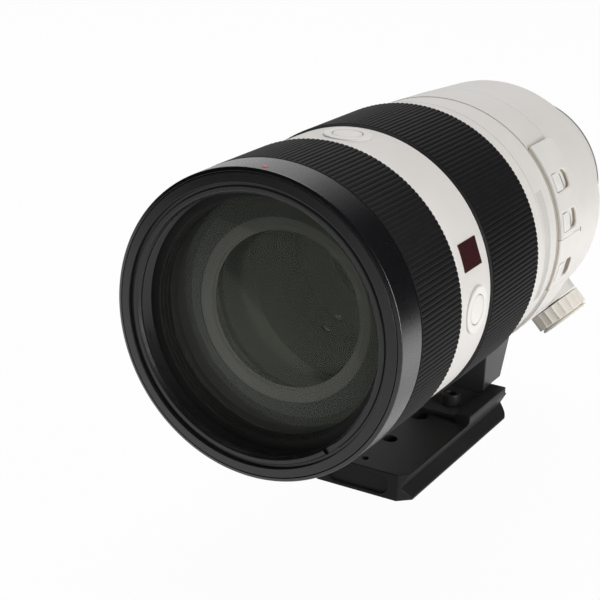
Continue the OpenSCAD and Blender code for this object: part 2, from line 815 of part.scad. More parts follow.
// Rear cell, flanged to the rear end of the optics tube
module rear_cell() color(BLACK) {
  rim_r = plate_hole_r + 6;
  rim_t = 2;
  bore = rear_glass_r + seat_gap;
  turned() polygon([[bore, s_optics_end], [rim_r, s_optics_end], [rim_r, s_optics_end + rim_t],
    [rear_cell_r, s_optics_end + rim_t], [rear_cell_r, s_rear_cell_end], [bore, s_rear_cell_end]]);
}

module rear_glass() color(GLASS) {
  inset = 3;
  first_edge = 5;
  last_edge = 4;
  lens_blank(rear_glass_r, s_optics_end + inset, first_edge, 1.6, -1.2);
  lens_blank(rear_glass_r, s_rear_cell_end - inset - last_edge, last_edge, -1.5, 1);
}

// Ring-shaped circuit board round the rear cell
module main_board() color([0.1, 0.3, 0.18]) {
  board_t = 1.6;
  s_board = s_optics_end + 4;
  ring(plate_hole_r + 3, rear_cell_r + seat_gap, s_board, s_board + board_t);
}

// Mount ring: flange, bayonet tube and three lugs
module mount_ring() color(STEEL) difference() {
  lug_h = 1.1;
  lug_t = 1.4;
  lug_inset_l = 0.8;
  lug_sweep = 55;
  lug_root = throat_d / 2 + 1;
  union() {
    ring(flange_d / 2, throat_d / 2, s_flange, overall);
    ring(bayonet_d / 2, throat_d / 2, overall - cut, overall + bayonet_l);
    for (a = [30, 150, 270]) turned_arc(a, a + lug_sweep)
      translate([lug_root, overall + bayonet_l - lug_t - lug_inset_l])
        square([bayonet_d / 2 + lug_h - lug_root, lug_t]);
  }
  for (a = mount_screw_angles) radial(a, s_flange) translate([0, -cut, mount_screw_circle])
    rotate([-90, 0, 0]) cylinder(r = mount_screw_r, h = flange_t + 2 * cut, $fn = 32);
}

// Four mount screws, flush with the flange
module mount_screws() color(STEEL) for (a = mount_screw_angles) radial(a, s_flange)
  translate([0, 0, mount_screw_circle]) difference() {
    rotate([-90, 0, 0]) cylinder(r = mount_screw_r, h = flange_t - 0.1, $fn = 32);
    for (turn = [0, 90]) translate([0, flange_t - 0.6, 0]) rotate([0, turn, 0])
      translate([-1, 0, -0.2]) cube([2, 1, 0.4]);
  }

// Contact block with ten pins, inside the bayonet at the bottom
module contact_block() color(BLACK) {
  pin_n = 10;
  pin_r = 0.7;
  spread = 70;
  end_room = 4;
  thick = 2.6;
  sunk = 1;
  outer = throat_d / 2;
  turned_arc(180 - spread / 2 - end_room, 180 + spread / 2 + end_room)
    translate([outer - thick, overall - sunk]) square([thick, bayonet_l]);
  for (i = [0 : pin_n - 1]) radial(180 - spread / 2 + i * spread / (pin_n - 1), overall)
    translate([0, bayonet_l - sunk - eps, outer - thick / 2]) rotate([-90, 0, 0])
      cylinder(r = pin_r, h = 0.4, $fn = 24);
}

// Rubber gasket round the flange
module mount_seal() color(RUBBER)
  ring(flange_d / 2 + 0.9, flange_d / 2 + seat_gap, s_flange, s_flange + flange_t - 0.9);

// Pale dot that lines up the mount
module mount_index_dot() color([0.95, 0.95, 0.95]) radial(0, s_flange - 2.5)
  translate([0, 0, tail_end_d / 2 + 0.2]) cylinder(r = 1, h = 0.8, $fn = 24);

// Collar with a lug for the foot and a boss for the lock knob
module collar_ring() color(PALE) difference() {
  union() {
    turned() polygon([[liner_bore, s_collar], [collar_r, s_collar], [collar_end_r, s_tail],
      [liner_bore, s_tail]]);
    at_s(s_post) translate([-lug_w / 2, 0, -post_top]) cube([lug_w, lug_l, post_top - liner_bore]);
    radial(knob_angle, s_knob) translate([0, 0, liner_bore])
      cylinder(r = knob_boss_r, h = knob_base - knob_gap - liner_bore);
  }
  ring(liner_r, 1, s_collar + liner_end, s_tail - liner_end);
  ring(liner_bore, 1, s_collar - cut, s_tail + cut);
  radial(knob_angle, s_knob) cylinder(r = knob_stem_r + knob_fit, h = knob_base);
}

module collar_liner() color([0.2, 0.2, 0.2]) difference() {
  ring(liner_r, liner_bore, s_collar + liner_end, s_tail - liner_end);
  radial(knob_angle, s_knob) cylinder(r = knob_stem_r + 1, h = liner_r + cut);
}

// Fluted lock knob with its screw
module lock_knob() color(PALE) radial(knob_angle, s_knob) {
  rim_t = 0.8;
  rim_gap = 0.5;
  knob_r = knob_d / 2;
  translate([0, 0, knob_tip]) cylinder(r = knob_stem_r, h = knob_base + eps - knob_tip);
  translate([0, 0, knob_base]) difference() {
    cylinder(r = knob_r, h = knob_t);
    for (i = [0 : flute_n - 1]) rotate(i * 360 / flute_n)
      translate([knob_r + flute_r - flute_d, 0, -cut])
        cylinder(r = flute_r, h = knob_t + 2 * cut, $fn = 24);
  }
  translate([0, 0, knob_base + knob_t - eps]) cylinder(r = knob_r - 1.4, h = rim_gap);
  translate([0, 0, knob_base + knob_t + rim_gap - 2 * eps]) cylinder(r = knob_r - 0.9, h = rim_t);
}

// Post under the collar, with a tongue that lies between the rails of the plate
module foot_post() color(BLACK) difference() {
  overhang_z = plate_top - rail_h;
  lean = 5.9;
  cap_l = 3.4;
  cap_h = 6;
  rail_end = s_rail + rail_l - s_post;
  at_s(s_post) translate([-post_w / 2, 0, 0]) rotate([90, 0, 90]) linear_extrude(post_w)
    polygon([[0, -post_top], [lug_l + cap_l, -post_top], [post_l + lean, -post_top - cap_h],
      [post_l, -overhang_z], [rail_end, -overhang_z], [rail_end, -plate_top],
      [-tongue_l, -plate_top], [-tongue_l, -plate_top + tongue_t], [0, -plate_top + tongue_t]]);
  for (x = foot_screw_xs) at_s(s_foot_screw) translate([x, 0, -plate_top - cut])
    cylinder(r = foot_screw_r, h = tongue_t + 2 * cut, $fn = 32);
}

// Dovetail plate: grooved sides, rails for the post, and a pocket in the front end
module foot_plate() color(BLACK) difference() {
  half = plate_w / 2;
  groove_mid = (foot_drop + plate_top) / 2;
  rail_in = post_w / 2;
  pocket_r = 3.5;
  pocket_half = 8;
  pocket_d = 1;
  hole_r = [1.1, 2.55, 3.2];
  hole_s = [5.8, 24.5, 48.2];
  intersection() {
    at_s(s_plate) rotate([90, 0, 180]) linear_extrude(plate_l) polygon([[-half, -foot_drop],
      [half, -foot_drop], [half, -foot_drop + groove_land], [half - groove_d, -groove_mid],
      [half, -plate_top + groove_land_top], [half, -plate_top + rail_h],
      [-half, -plate_top + rail_h], [-half, -plate_top + groove_land_top],
      [-half + groove_d, -groove_mid],
      [-half, -foot_drop + groove_land]]);
    at_s(s_plate) translate([0, 0, -foot_drop - cut]) linear_extrude(plate_t + rail_h + 2 * cut)
      union() {
        polygon([[-half + corner, 0], [half - corner, 0], [half, corner], [half, plate_l - corner],
          [-half, plate_l - corner], [-half, corner]]);
        translate([-half + corner, plate_l - corner]) circle(r = corner);
        translate([half - corner, plate_l - corner]) circle(r = corner);
        translate([-half + corner, corner]) square([plate_w - 2 * corner, plate_l - corner]);
      }
  }
  at_s(s_plate - cut) translate([-half - cut, 0, -plate_top])
    cube([plate_w + 2 * cut, s_rail - s_plate + cut, rail_h + cut]);
  at_s(s_rail - cut) translate([-rail_in, 0, -plate_top]) cube([post_w, plate_l, rail_h + cut]);
  at_s(s_rail + rail_l) translate([-half - cut, 0, -plate_top])
    cube([plate_w + 2 * cut, plate_l, rail_h + cut]);
  at_s(s_plate) translate([0, 0, -groove_mid]) rotate([-90, 0, 0]) {
    for (x = [-pocket_half, pocket_half]) translate([x, 0, -cut])
      cylinder(r = pocket_r, h = pocket_d + cut);
    translate([-pocket_half, -pocket_r, -cut]) cube([2 * pocket_half, 2 * pocket_r, pocket_d + cut]);
  }
  for (i = [0 : 2]) at_s(s_plate + hole_s[i]) translate([0, 0, -foot_drop - cut])
    cylinder(r = hole_r[i], h = plate_t + 2 * cut, $fn = 48);
  for (x = foot_screw_xs) at_s(s_foot_screw) translate([x, 0, -plate_top - foot_hole_l])
    cylinder(r = foot_screw_r, h = foot_hole_l + cut, $fn = 32);
}

// Two socket-head screws that hold the post down
module foot_screws() color(STEEL) for (x = foot_screw_xs) at_s(s_foot_screw)
  translate([x, 0, 0]) {
    translate([0, 0, -plate_top - foot_screw_l])
      cylinder(r = foot_screw_r, h = foot_screw_l + tongue_t + eps, $fn = 32);
    translate([0, 0, -plate_top + tongue_t]) difference() {
      cylinder(r = foot_head_r, h = foot_head_h, $fn = 48);
      translate([0, 0, hex_floor]) cylinder(r = hex_r, h = foot_head_h, $fn = 6);
    }
  }

front_barrel();
filter_ring();
retaining_ring();
front_cell();
front_element();
baffle_ring();
second_element();
third_element();
hood_index_dot();
focus_sleeve();
focus_grip();
pale_band();
badge_plate();
button_bezels();
hold_button_top();
hold_button_right();
hold_button_left();
extension_tube();
cam_followers();
zoom_sleeve();
zoom_grip();
cam_tube();
zoom_key();
main_tube();
fixed_ring();
torque_ring();
rear_barrel();
switch_panel();
focus_switch();
range_switch();
steady_switch();
optics_tube();
guide_rods();
variator_cell();
variator_glass();
iris_unit();
iris_blades();
focus_cell();
focus_glass();
focus_coil();
focus_magnet();
steady_frame();
steady_slide();
steady_cell();
steady_glass();
tail_barrel();
rear_cell();
rear_glass();
main_board();
mount_ring();
mount_screws();
contact_block();
mount_seal();
mount_index_dot();
collar_ring();
collar_liner();
lock_knob();
foot_post();
foot_plate();
foot_screws();
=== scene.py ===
import json
import math

import bmesh
import bpy
from mathutils import Matrix, Vector

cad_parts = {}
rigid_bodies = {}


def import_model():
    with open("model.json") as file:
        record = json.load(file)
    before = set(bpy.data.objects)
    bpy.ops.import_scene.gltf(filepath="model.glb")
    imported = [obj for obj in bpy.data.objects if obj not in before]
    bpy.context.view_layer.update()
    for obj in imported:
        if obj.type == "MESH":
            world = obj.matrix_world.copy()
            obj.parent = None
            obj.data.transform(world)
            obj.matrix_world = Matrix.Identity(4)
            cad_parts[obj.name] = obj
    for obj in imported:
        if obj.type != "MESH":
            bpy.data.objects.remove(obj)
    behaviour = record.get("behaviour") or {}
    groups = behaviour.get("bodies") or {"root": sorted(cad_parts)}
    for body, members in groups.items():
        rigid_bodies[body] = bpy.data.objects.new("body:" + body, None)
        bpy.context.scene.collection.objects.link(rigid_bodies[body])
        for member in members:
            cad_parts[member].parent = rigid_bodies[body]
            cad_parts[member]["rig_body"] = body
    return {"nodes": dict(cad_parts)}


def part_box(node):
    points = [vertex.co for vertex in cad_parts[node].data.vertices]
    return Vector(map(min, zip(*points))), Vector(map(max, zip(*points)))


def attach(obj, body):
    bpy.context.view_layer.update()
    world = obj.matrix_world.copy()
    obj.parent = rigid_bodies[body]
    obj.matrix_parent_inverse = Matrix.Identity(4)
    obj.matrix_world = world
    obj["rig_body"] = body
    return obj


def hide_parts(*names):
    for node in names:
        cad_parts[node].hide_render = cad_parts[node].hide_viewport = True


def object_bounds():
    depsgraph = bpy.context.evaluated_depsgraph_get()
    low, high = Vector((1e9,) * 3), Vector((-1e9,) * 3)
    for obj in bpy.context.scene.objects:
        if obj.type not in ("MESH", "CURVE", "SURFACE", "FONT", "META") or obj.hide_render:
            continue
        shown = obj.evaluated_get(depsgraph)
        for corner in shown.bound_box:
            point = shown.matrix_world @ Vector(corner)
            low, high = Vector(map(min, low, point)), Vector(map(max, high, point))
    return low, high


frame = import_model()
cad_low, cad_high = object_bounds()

# View
# The camera stands in front of the lens, to its right and above it, tilted a little.
# Its place and focal length were fitted to the rings of the barrel.
view_azimuth = math.radians(28.36)
view_elevation = math.radians(19.81)
view_roll = math.radians(2.60)
view_place = (0.20916, -0.56028, 0.15919)
view_sensor = 36
view_focal = 96
view_near = 0.01
level_right = Vector((math.cos(view_azimuth), math.sin(view_azimuth), 0))
view_back = Vector((math.sin(view_azimuth) * math.cos(view_elevation),
                    -math.cos(view_azimuth) * math.cos(view_elevation),
                    math.sin(view_elevation)))
level_up = view_back.cross(level_right)
tilted_right = math.cos(view_roll) * level_right + math.sin(view_roll) * level_up
tilted_up = math.cos(view_roll) * level_up - math.sin(view_roll) * level_right
camera = bpy.data.objects.new("view", bpy.data.cameras.new("view"))
camera.data.sensor_width = view_sensor
camera.data.lens = view_focal
camera.data.clip_start = view_near
turn = Matrix((tilted_right, tilted_up, view_back)).transposed().to_4x4()
camera.matrix_world = Matrix.Translation(view_place) @ turn
bpy.context.collection.objects.link(camera)
bpy.context.scene.camera = camera


# Front barrel
# A thin light-alloy tube, turned and sprayed satin black, with the hub that carries the focus
# ring and the pale band. The filter ring is screwed into its front end.
MM = 0.001
FACETS = 288
SMOOTH_ANGLE = math.radians(38)
CORNER_SHARE = 0.48


class Wire:
    """One socket of a node tree. Sums on wires add Math nodes to the tree."""

    def __init__(self, tree, socket):
        self.tree = tree
        self.socket = socket

    def node(self, kind, settings=None, feeds=None, pick=0):
        """Adds a node, sets it up, feeds its sockets, and returns one of its outputs."""
        made = self.tree.nodes.new(kind)
        for name, value in (settings or {}).items():
            setattr(made, name, value)
        for key, value in (feeds or {}).items():
            if isinstance(value, Wire):
                self.tree.links.new(value.socket, made.inputs[key])
            else:
                made.inputs[key].default_value = value
        return Wire(self.tree, made.outputs[pick])

    def sum(self, operation, first, second=0.0):
        return self.node("ShaderNodeMath", {"operation": operation}, {0: first, 1: second})

    def __add__(self, other):
        return self.sum("ADD", self, other)

    def __sub__(self, other):
        return self.sum("SUBTRACT", self, other)

    def __rsub__(self, other):
        return self.sum("SUBTRACT", other, self)

    def __mul__(self, other):
        return self.sum("MULTIPLY", self, other)

    __radd__ = __add__
    __rmul__ = __mul__

    def ease(self, low, high):
        """0 below low, 1 above high, and a smooth rise between them."""
        return self.node("ShaderNodeMapRange", {"interpolation_type": "SMOOTHSTEP"},
                         {"Value": self, "From Min": low, "From Max": high})

    def blend(self, first, second):
        """The first colour where this wire is 0, and the second where it is 1."""
        return self.node("ShaderNodeMix", {"data_type": "RGBA"}, {0: self, 6: first, 7: second}, 2)

    def grain(self, size, detail=2.0, spread=0.5):
        """Even noise whose lumps are about size millimetres across."""
        return self.node("ShaderNodeTexNoise", None, {
            "Vector": self, "Scale": 1 / (size * MM), "Detail": detail, "Roughness": spread})

    def along(self, way):
        """How far this place lies in a direction."""
        return self.node("ShaderNodeVectorMath", {"operation": "DOT_PRODUCT"}, {0: self, 1: way}, 1)

    def radius(self):
        """How far this place lies from the optical axis."""
        across = self.node("ShaderNodeVectorMath", {"operation": "MULTIPLY"},
                           {0: self, 1: (1.0, 0.0, 1.0)})
        return self.node("ShaderNodeVectorMath", {"operation": "LENGTH"}, {0: across}, 1)


def finish(name, **even):
    """A new material with its even values set: the material, its shader and its coordinates."""
    material = bpy.data.materials.new(name)
    material.use_nodes = True
    tree = material.node_tree
    shader = tree.nodes["Principled BSDF"]
    for key, value in even.items():
        shader.inputs[key.replace("_", " ")].default_value = value
    place = Wire(tree, tree.nodes.new("ShaderNodeTexCoord").outputs["Object"])
    return material, shader, place


def feed(place, shader, **wires):
    """Links wires to the shader's sockets."""
    for key, wire in wires.items():
        place.tree.links.new(wire.socket, shader.inputs[key.replace("_", " ")])


def raised(place, height, depth):
    """A bump of that depth in millimetres."""
    return place.node("ShaderNodeBump", None,
                      {"Strength": 1.0, "Distance": depth * MM, "Height": height})


def rgb(red, green, blue):
    return (red, green, blue, 1.0)


def sprayed(name, colour, shade, rough, speck, depth, specular=0.5):
    """Sprayed or moulded finish: fine specks, a slow drift of tone and a few rubbed places."""
    material, shader, place = finish(name, Specular_IOR_Level=specular)
    fine = place.grain(speck, 3.0, 0.6)
    drift = place.grain(18, 2.0)
    rubbed = place.grain(4, 4.0, 0.7).ease(0.56, 0.74)
    tone = (fine - 0.5) * 0.5 + (drift - 0.5) * 0.7 + 0.5
    feed(place, shader, Base_Color=tone.ease(0.1, 0.9).blend(shade, colour),
         Roughness=(fine - 0.5) * 0.16 + rubbed * -0.05 + rough,
         Normal=raised(place, fine, depth))
    return material


def eased(outline, steps=4):
    """The outline in (radius, station) with each corner that has a third number rounded to it."""
    made = []
    befores = outline[-1:] + outline[:-1]
    afters = outline[1:] + outline[:1]
    for here, before, after in zip(outline, befores, afters):
        spot = Vector(here[:2])
        if len(here) < 3:
            made.append(spot)
            continue
        back = Vector(before[:2]) - spot
        on = Vector(after[:2]) - spot
        half = back.angle(on) / 2
        reach = min(here[2] / math.tan(half), CORNER_SHARE * back.length, CORNER_SHARE * on.length)
        size = reach * math.tan(half)
        inwards = (back.normalized() + on.normalized()).normalized()
        middle = spot + inwards * (size / math.sin(half))
        first = spot + back.normalized() * reach - middle
        last = spot + on.normalized() * reach - middle
        for k in range(steps + 1):
            share = k / steps
            made.append(middle + (first * (1 - share) + last * share).normalized() * size)
    return made


def plain(obj):
    """Turns an object with modifiers into one with a plain mesh."""
    depsgraph = bpy.context.evaluated_depsgraph_get()
    mesh = bpy.data.meshes.new_from_object(obj.evaluated_get(depsgraph))
    mesh.name = obj.name
    obj.modifiers.clear()
    obj.data = mesh
    return obj


def shaded(name, mesh, material):
    """An object whose flats stay flat and whose rounds shade smoothly."""
    mesh.materials.clear()
    mesh.materials.append(material)
    mesh.shade_smooth()
    mesh.set_sharp_from_angle(angle=SMOOTH_ANGLE)
    obj = bpy.data.objects.new(name, mesh)
    bpy.context.collection.objects.link(obj)
    weighted = obj.modifiers.new("weighted", "WEIGHTED_NORMAL")
    weighted.keep_sharp = True
    return plain(obj)


def closed(name, spots, faces, material):
    """A closed piece from its points in metres and its faces, which are turned outwards."""
    mesh = bpy.data.meshes.new(name)
    mesh.from_pydata(spots, [], faces)
    build = bmesh.new()
    build.from_mesh(mesh)
    bmesh.ops.recalc_face_normals(build, faces=build.faces)
    build.to_mesh(mesh)
    build.free()
    return shaded(name, mesh, material)


def lathe(name, outline, material, facets=FACETS, fluted=None):
    """Turns a closed outline in millimetres, (radius, y) or (radius, y, round), about the axis.

    A function of the radius and the angle may flute it.
    """
    ring = eased(outline)
    poles = ring[0].x < 1e-6 and ring[-1].x < 1e-6
    spots = []
    faces = []
    inner = ring[1:-1] if poles else ring
    count = len(inner)
    for k in range(facets):
        angle = 2 * math.pi * k / facets
        for spot in inner:
            radius = fluted(spot.x, angle) if fluted else spot.x
            spots.append((radius * math.sin(angle) * MM,
                          spot.y * MM,
                          radius * math.cos(angle) * MM))
    for k in range(facets):
        here, there = k * count, (k + 1) % facets * count
        for i in range(count - 1 if poles else count):
            j = (i + 1) % count
            faces.append((here + i, here + j, there + j, there + i))
    if poles:
        first = len(spots)
        spots.extend([(0, ring[0].y * MM, 0), (0, ring[-1].y * MM, 0)])
        for k in range(facets):
            here, there = k * count, (k + 1) % facets * count
            faces.append((first, here, there))
            faces.append((first + 1, there + count - 1, here + count - 1))
    return closed(name, spots, faces, material)


def extent(node):
    """A node's front and back along the axis and its half width, in millimetres."""
    low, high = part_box(node)
    return low.y / MM, high.y / MM, high.x / MM


def fit(obj, body, slot, *nodes):
    """The piece rides on a body and stands for these nodes. The slot is not used."""
    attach(obj, body)
    if nodes:
        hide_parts(*nodes)
    return obj


satin_black = sprayed("satin_black_paint", rgb(0.0048, 0.0047, 0.0058), rgb(0.0032, 0.0032, 0.0038),
                      rough=0.28, speck=0.16, depth=0.005, specular=0.85)
face, hub_end, body_r = extent("front_barrel")
grip_gap = 0.3
skin_end = extent("focus_grip")[0] - grip_gap
rim_t = 1.25
rim_r = body_r - rim_t
shoulder_r = body_r - 0.05
shoulder_l = 1
hub_r = 42.4
hub_bore = 40.9
hub_floor_bore = 37.4
hub_floor_t = 2
thread_end = extent("retaining_ring")[0]
tube_rib_bore = 39.3
tube_rib_front = extent("extension_tube")[0] + 3
tube_rib_back = tube_rib_front + 2
face_drop = 0.5
fit(lathe("front_barrel_skin", [
    (rim_r, face + face_drop, 0.12), (shoulder_r, face + shoulder_l, 0.4), (body_r, skin_end, 0.25),
    (hub_r, skin_end), (hub_r, hub_end, 0.2), (hub_floor_bore, hub_end, 0.2),
    (hub_floor_bore, hub_end - hub_floor_t), (hub_bore, hub_end - hub_floor_t),
    (hub_bore, tube_rib_back), (tube_rib_bore, tube_rib_back), (tube_rib_bore, tube_rib_front),
    (hub_bore, tube_rib_front), (hub_bore, thread_end), (rim_r, thread_end)], satin_black),
    "front_group", "black_shell", "front_barrel")


# Red index dot
# A spot of red enamel on top of the front barrel, which the hood lines up with. It fills a
# shallow drilling.
MERGE = 0.002 * MM
FLAT_ANGLE = math.radians(0.4)
CORNER_ANGLE = math.radians(32)


def enamel(name, colour, shade):
    """Enamel that fills a small mark."""
    return sprayed(name, colour, shade, rough=0.3, speck=0.2, depth=0.004)


def broken(node, name, width, material, steps):
    """A copy of a CAD node's mesh with its corners broken to a small round, in millimetres."""
    mesh = frame["nodes"][node].data.copy()
    mesh.name = name
    build = bmesh.new()
    build.from_mesh(mesh)
    bmesh.ops.remove_doubles(build, verts=build.verts, dist=MERGE)
    bmesh.ops.dissolve_limit(build, angle_limit=FLAT_ANGLE, verts=build.verts, edges=build.edges)
    build.to_mesh(mesh)
    build.free()
    mesh.shade_smooth()
    obj = bpy.data.objects.new(name, mesh)
    bpy.context.collection.objects.link(obj)
    bevel = obj.modifiers.new("broken", "BEVEL")
    bevel.width = width * MM
    bevel.segments = steps
    bevel.limit_method = "ANGLE"
    bevel.angle_limit = CORNER_ANGLE
    bevel.use_clamp_overlap = False
    bevel.miter_outer = "MITER_ARC"
    plain(obj)
    mesh = obj.data
    bpy.data.objects.remove(obj)
    return shaded(name, mesh, material)


def trimmed(node, name, width, material, body, slot, steps=2):
    """A piece of its node's shape with broken corners, which stands for the node on its body."""
    return fit(broken(node, name, width, material, steps), body, slot, node)


red_enamel = enamel("red_enamel", rgb(0.52, 0.03, 0.05), rgb(0.40, 0.02, 0.03))
trimmed("hood_index_dot", "hood_index_spot", 0.08, red_enamel, "front_group", "dot_red")


# Filter ring
# A turned alloy ring, blackened, that closes the front of the barrel. Its wall carries the filter
# thread, and a notch in its rounded bead stops the hood.
REARWARDS = (0.0, 1.0, 0.0)


def turned(name, colour, shade, rough, line, depth, metal=0.0, specular=0.5):
    """Lathe-turned finish: fine rings round the optical axis under the colour."""
    material, shader, place = finish(name, Metallic=metal, Specular_IOR_Level=specular)
    spot = place.node("ShaderNodeCombineXYZ", None,
                      {"X": place.radius(), "Y": place.along(REARWARDS)})
    rings = spot.grain(line, 3.0, 0.7)
    cloud = place.grain(9, 3.0)
    tone = (rings - 0.5) * 0.8 + (cloud - 0.5) * 0.5 + 0.5
    feed(place, shader, Base_Color=tone.ease(0.1, 0.9).blend(shade, colour),
         Roughness=(rings - 0.5) * 0.22 + (cloud - 0.5) * 0.1 + rough,
         Normal=raised(place, rings, depth))
    return material


ring_black = turned("blackened_ring", rgb(0.013, 0.0125, 0.0135), rgb(0.009, 0.0088, 0.0095),
                    rough=0.30, line=0.35, depth=0.003, specular=0.6)
thread_r = 38.5
thread_pitch = 0.75
thread_depth = 0.35
thread_turns = 7
thread_run_out = 0.4
lip_r = 41.75
bead_r = 39.9
bead_half = 0.7
bead_round = 0.5
bead_top = face + 0.6
groove_floor = face + 1.2
groove_slope = 0.2
lip_end = face + 1.6
ring_out = rim_r - 0.2
ring_outline = [(lip_r, face, 0.15), (ring_out, face + face_drop, 0.2), (ring_out, thread_end),
                (thread_r + thread_depth, thread_end)]
for i in range(thread_turns):
    root = thread_end - thread_run_out - i * thread_pitch
    ring_outline += [(thread_r + thread_depth, root), (thread_r, root - thread_pitch / 2)]
ring_outline += [(thread_r, lip_end, 0.2), (bead_r - bead_half, bead_top, bead_round),
                 (bead_r + bead_half, bead_top, bead_round),
                 (bead_r + bead_half + groove_slope, groove_floor),
                 (lip_r - groove_slope, groove_floor)]
filter_ring = lathe("filter_ring_turned", ring_outline, ring_black)


def block(size, centre, angle):
    """A box in millimetres at (across, y, radius), swung round the axis from the top towards +X."""
    mesh = bpy.data.meshes.new("block")
    build = bmesh.new()
    bmesh.ops.create_cube(build, size=1)
    bmesh.ops.scale(build, vec=Vector(size) * MM, verts=build.verts)
    bmesh.ops.translate(build, vec=Vector(centre) * MM, verts=build.verts)
    swing = Matrix.Rotation(math.radians(angle), 3, "Y")
    bmesh.ops.rotate(build, cent=(0, 0, 0), matrix=swing, verts=build.verts)
    build.to_mesh(mesh)
    build.free()
    obj = bpy.data.objects.new("block", mesh)
    bpy.context.collection.objects.link(obj)
    return obj


def cut(obj, *cutters):
    """Takes the cutters out of a piece and removes them."""
    for cutter in cutters:
        taken = obj.modifiers.new("cut", "BOOLEAN")
        taken.object = cutter
        taken.solver = "EXACT"
    plain(obj)
    for cutter in cutters:
        bpy.data.objects.remove(cutter)


notch_angle = 139.3
notch_w = 4.7
notch_depth = 1.6
notch_reach = 1.7
notch = block((notch_w, 2 * notch_depth, notch_reach), (0, face, bead_r), notch_angle)
cut(filter_ring, notch)
fit(filter_ring, "front_group", "black_plastic", "filter_ring")


# Retaining ring
# A blackened alloy ring, screwed in behind the filter thread, that holds the front glass down.
# Steps turned on its slope stop stray light.
flat_black = turned("flat_black_cell", rgb(0.016, 0.016, 0.015), rgb(0.009, 0.009, 0.0085),
                    rough=0.6, line=0.5, depth=0.005, specular=0.3)
cell_front = extent("front_cell")[0]
cell_r = extent("front_cell")[2]
hold_in = 35.4
hold_slope = 0.7
steps_n = 3
step_l = (cell_front - thread_end) / steps_n
step_foot = 0.25
step_edge = 0.2
step_round = 0.08
hold_outline = [(cell_r, thread_end), (cell_r, cell_front), (hold_in, cell_front)]
for i in range(steps_n):
    y = cell_front - (i + 1) * step_l
    r = hold_in + hold_slope * (i + 1) / steps_n
    hold_outline += [(r - hold_slope / steps_n, y + step_foot, step_round),
                     (r, y + step_edge, step_round)]
hold_outline += [(r, thread_end, 0.12)]
fit(lathe("retaining_ring_turned", hold_outline, flat_black),
    "front_group", "black_plastic", "retaining_ring")


# Front cell and baffle
# The cell is a stepped alloy cup that seats the three front glasses, sprayed flat black inside.
# The baffle between them is a grey-black funnel with a stepped edge.
cell_black = turned("black_cell_paint", rgb(0.022, 0.0225, 0.0205), rgb(0.018, 0.0185, 0.0165),
                    rough=0.6, line=0.5, depth=0.001, specular=0.3)
baffle_grey = turned("baffle_grey", rgb(0.059, 0.0575, 0.054), rgb(0.051, 0.0495, 0.046),
                     rough=0.55, line=0.4, depth=0.001, specular=0.35)
cell_end = extent("front_cell")[1]
glass_r = extent("front_element")[2]
glass_back = extent("front_element")[1]
second_back, second_r = extent("second_element")[1:]
third_front = extent("third_element")[0]
baffle_front, baffle_back, baffle_r = extent("baffle_ring")
seat = 0.05
mouth_r = 33.5
funnel_r = 27.0
throat_r = funnel_r + 0.2
throat_l = 0.5
spacer_bore = 26.9
fit(lathe("front_cell_cup", [
    (cell_r, cell_front), (glass_r + seat, cell_front), (glass_r + seat, glass_back),
    (mouth_r, glass_back, 0.2), (throat_r, baffle_front - throat_l, 0.1), (throat_r, baffle_front),
    (baffle_r + seat, baffle_front), (baffle_r + seat, baffle_back), (second_r + seat, baffle_back),
    (second_r + seat, second_back), (spacer_bore, second_back), (spacer_bore, third_front),
    (second_r + seat, third_front), (second_r + seat, cell_end), (cell_r, cell_end)],
    cell_black), "front_group", "black_plastic", "front_cell")
hole_r = 22.9
stair = 0.8
edge_round = 0.05
blade_back = baffle_back - 0.5
blade_front = baffle_back - 0.8
stair_front = baffle_back - 1.2
fit(lathe("baffle_ring_stepped", [
    (baffle_r, baffle_front + seat), (baffle_r, baffle_back), (hole_r + stair, baffle_back),
    (hole_r + stair, blade_back, edge_round), (hole_r, blade_back, edge_round),
    (hole_r, blade_front, edge_round), (hole_r + stair, blade_front, edge_round),
    (hole_r + stair, stair_front, edge_round), (hole_r + 2 * stair, stair_front, 0.1),
    (funnel_r, baffle_front + seat, 0.1)], baffle_grey),
    "front_group", "baffle_grey", "baffle_ring")


# Light trap
# A moulded black tube behind the front glasses, pressed into the extension tube. Sharp ridges
# inside it stop light that strikes the wall.
trap_black = turned("trap_black", rgb(0.042, 0.045, 0.038), rgb(0.036, 0.039, 0.033),
                    rough=0.5, line=0.4, depth=0.001, specular=0.4)
trap_out = 39.1
trap_front = cell_end + 0.1
trap_pitch = 2.6
trap_n = 9
trap_end = trap_front + trap_n * trap_pitch
trap_in = 27.6
trap_widen = 0.75
ridge_tall = 1.1
ridge_slope = 0.4
trap_outline = [(trap_out, trap_end), (trap_out, trap_front)]
for i in range(trap_n):
    r = trap_in + trap_widen * i
    y = trap_front + trap_pitch * i
    trap_outline += [(r, y, edge_round), (r + ridge_tall, y + ridge_slope)]
trap_outline += [(trap_in + trap_widen * trap_n, trap_end)]
fit(lathe("light_trap", trap_outline, trap_black, FACETS // 2), "front_group", "black_plastic")


# Glasses
# Ground and polished blanks, with a coating that reflects a little green. Each is seated by its
# edge in the front cell.
GLASS_STEPS = 20


def coated(name, mirror):
    """A clear glass. The mirror tint is what its coating leaves of the reflection."""
    material, shader, place = finish(
        name, IOR=1.5, Roughness=0.0, Transmission_Weight=1.0, Specular_Tint=mirror)
    wiped = place.grain(12, 2.0).ease(0.4, 0.8)
    feed(place, shader, Base_Color=wiped.blend(rgb(0.94, 0.96, 0.92), rgb(0.955, 0.97, 0.935)))
    return material


coated_glass = coated("coated_glass", rgb(0.155, 0.169, 0.134))
inner_glass = coated("inner_glass", rgb(0.05, 0.055, 0.043))


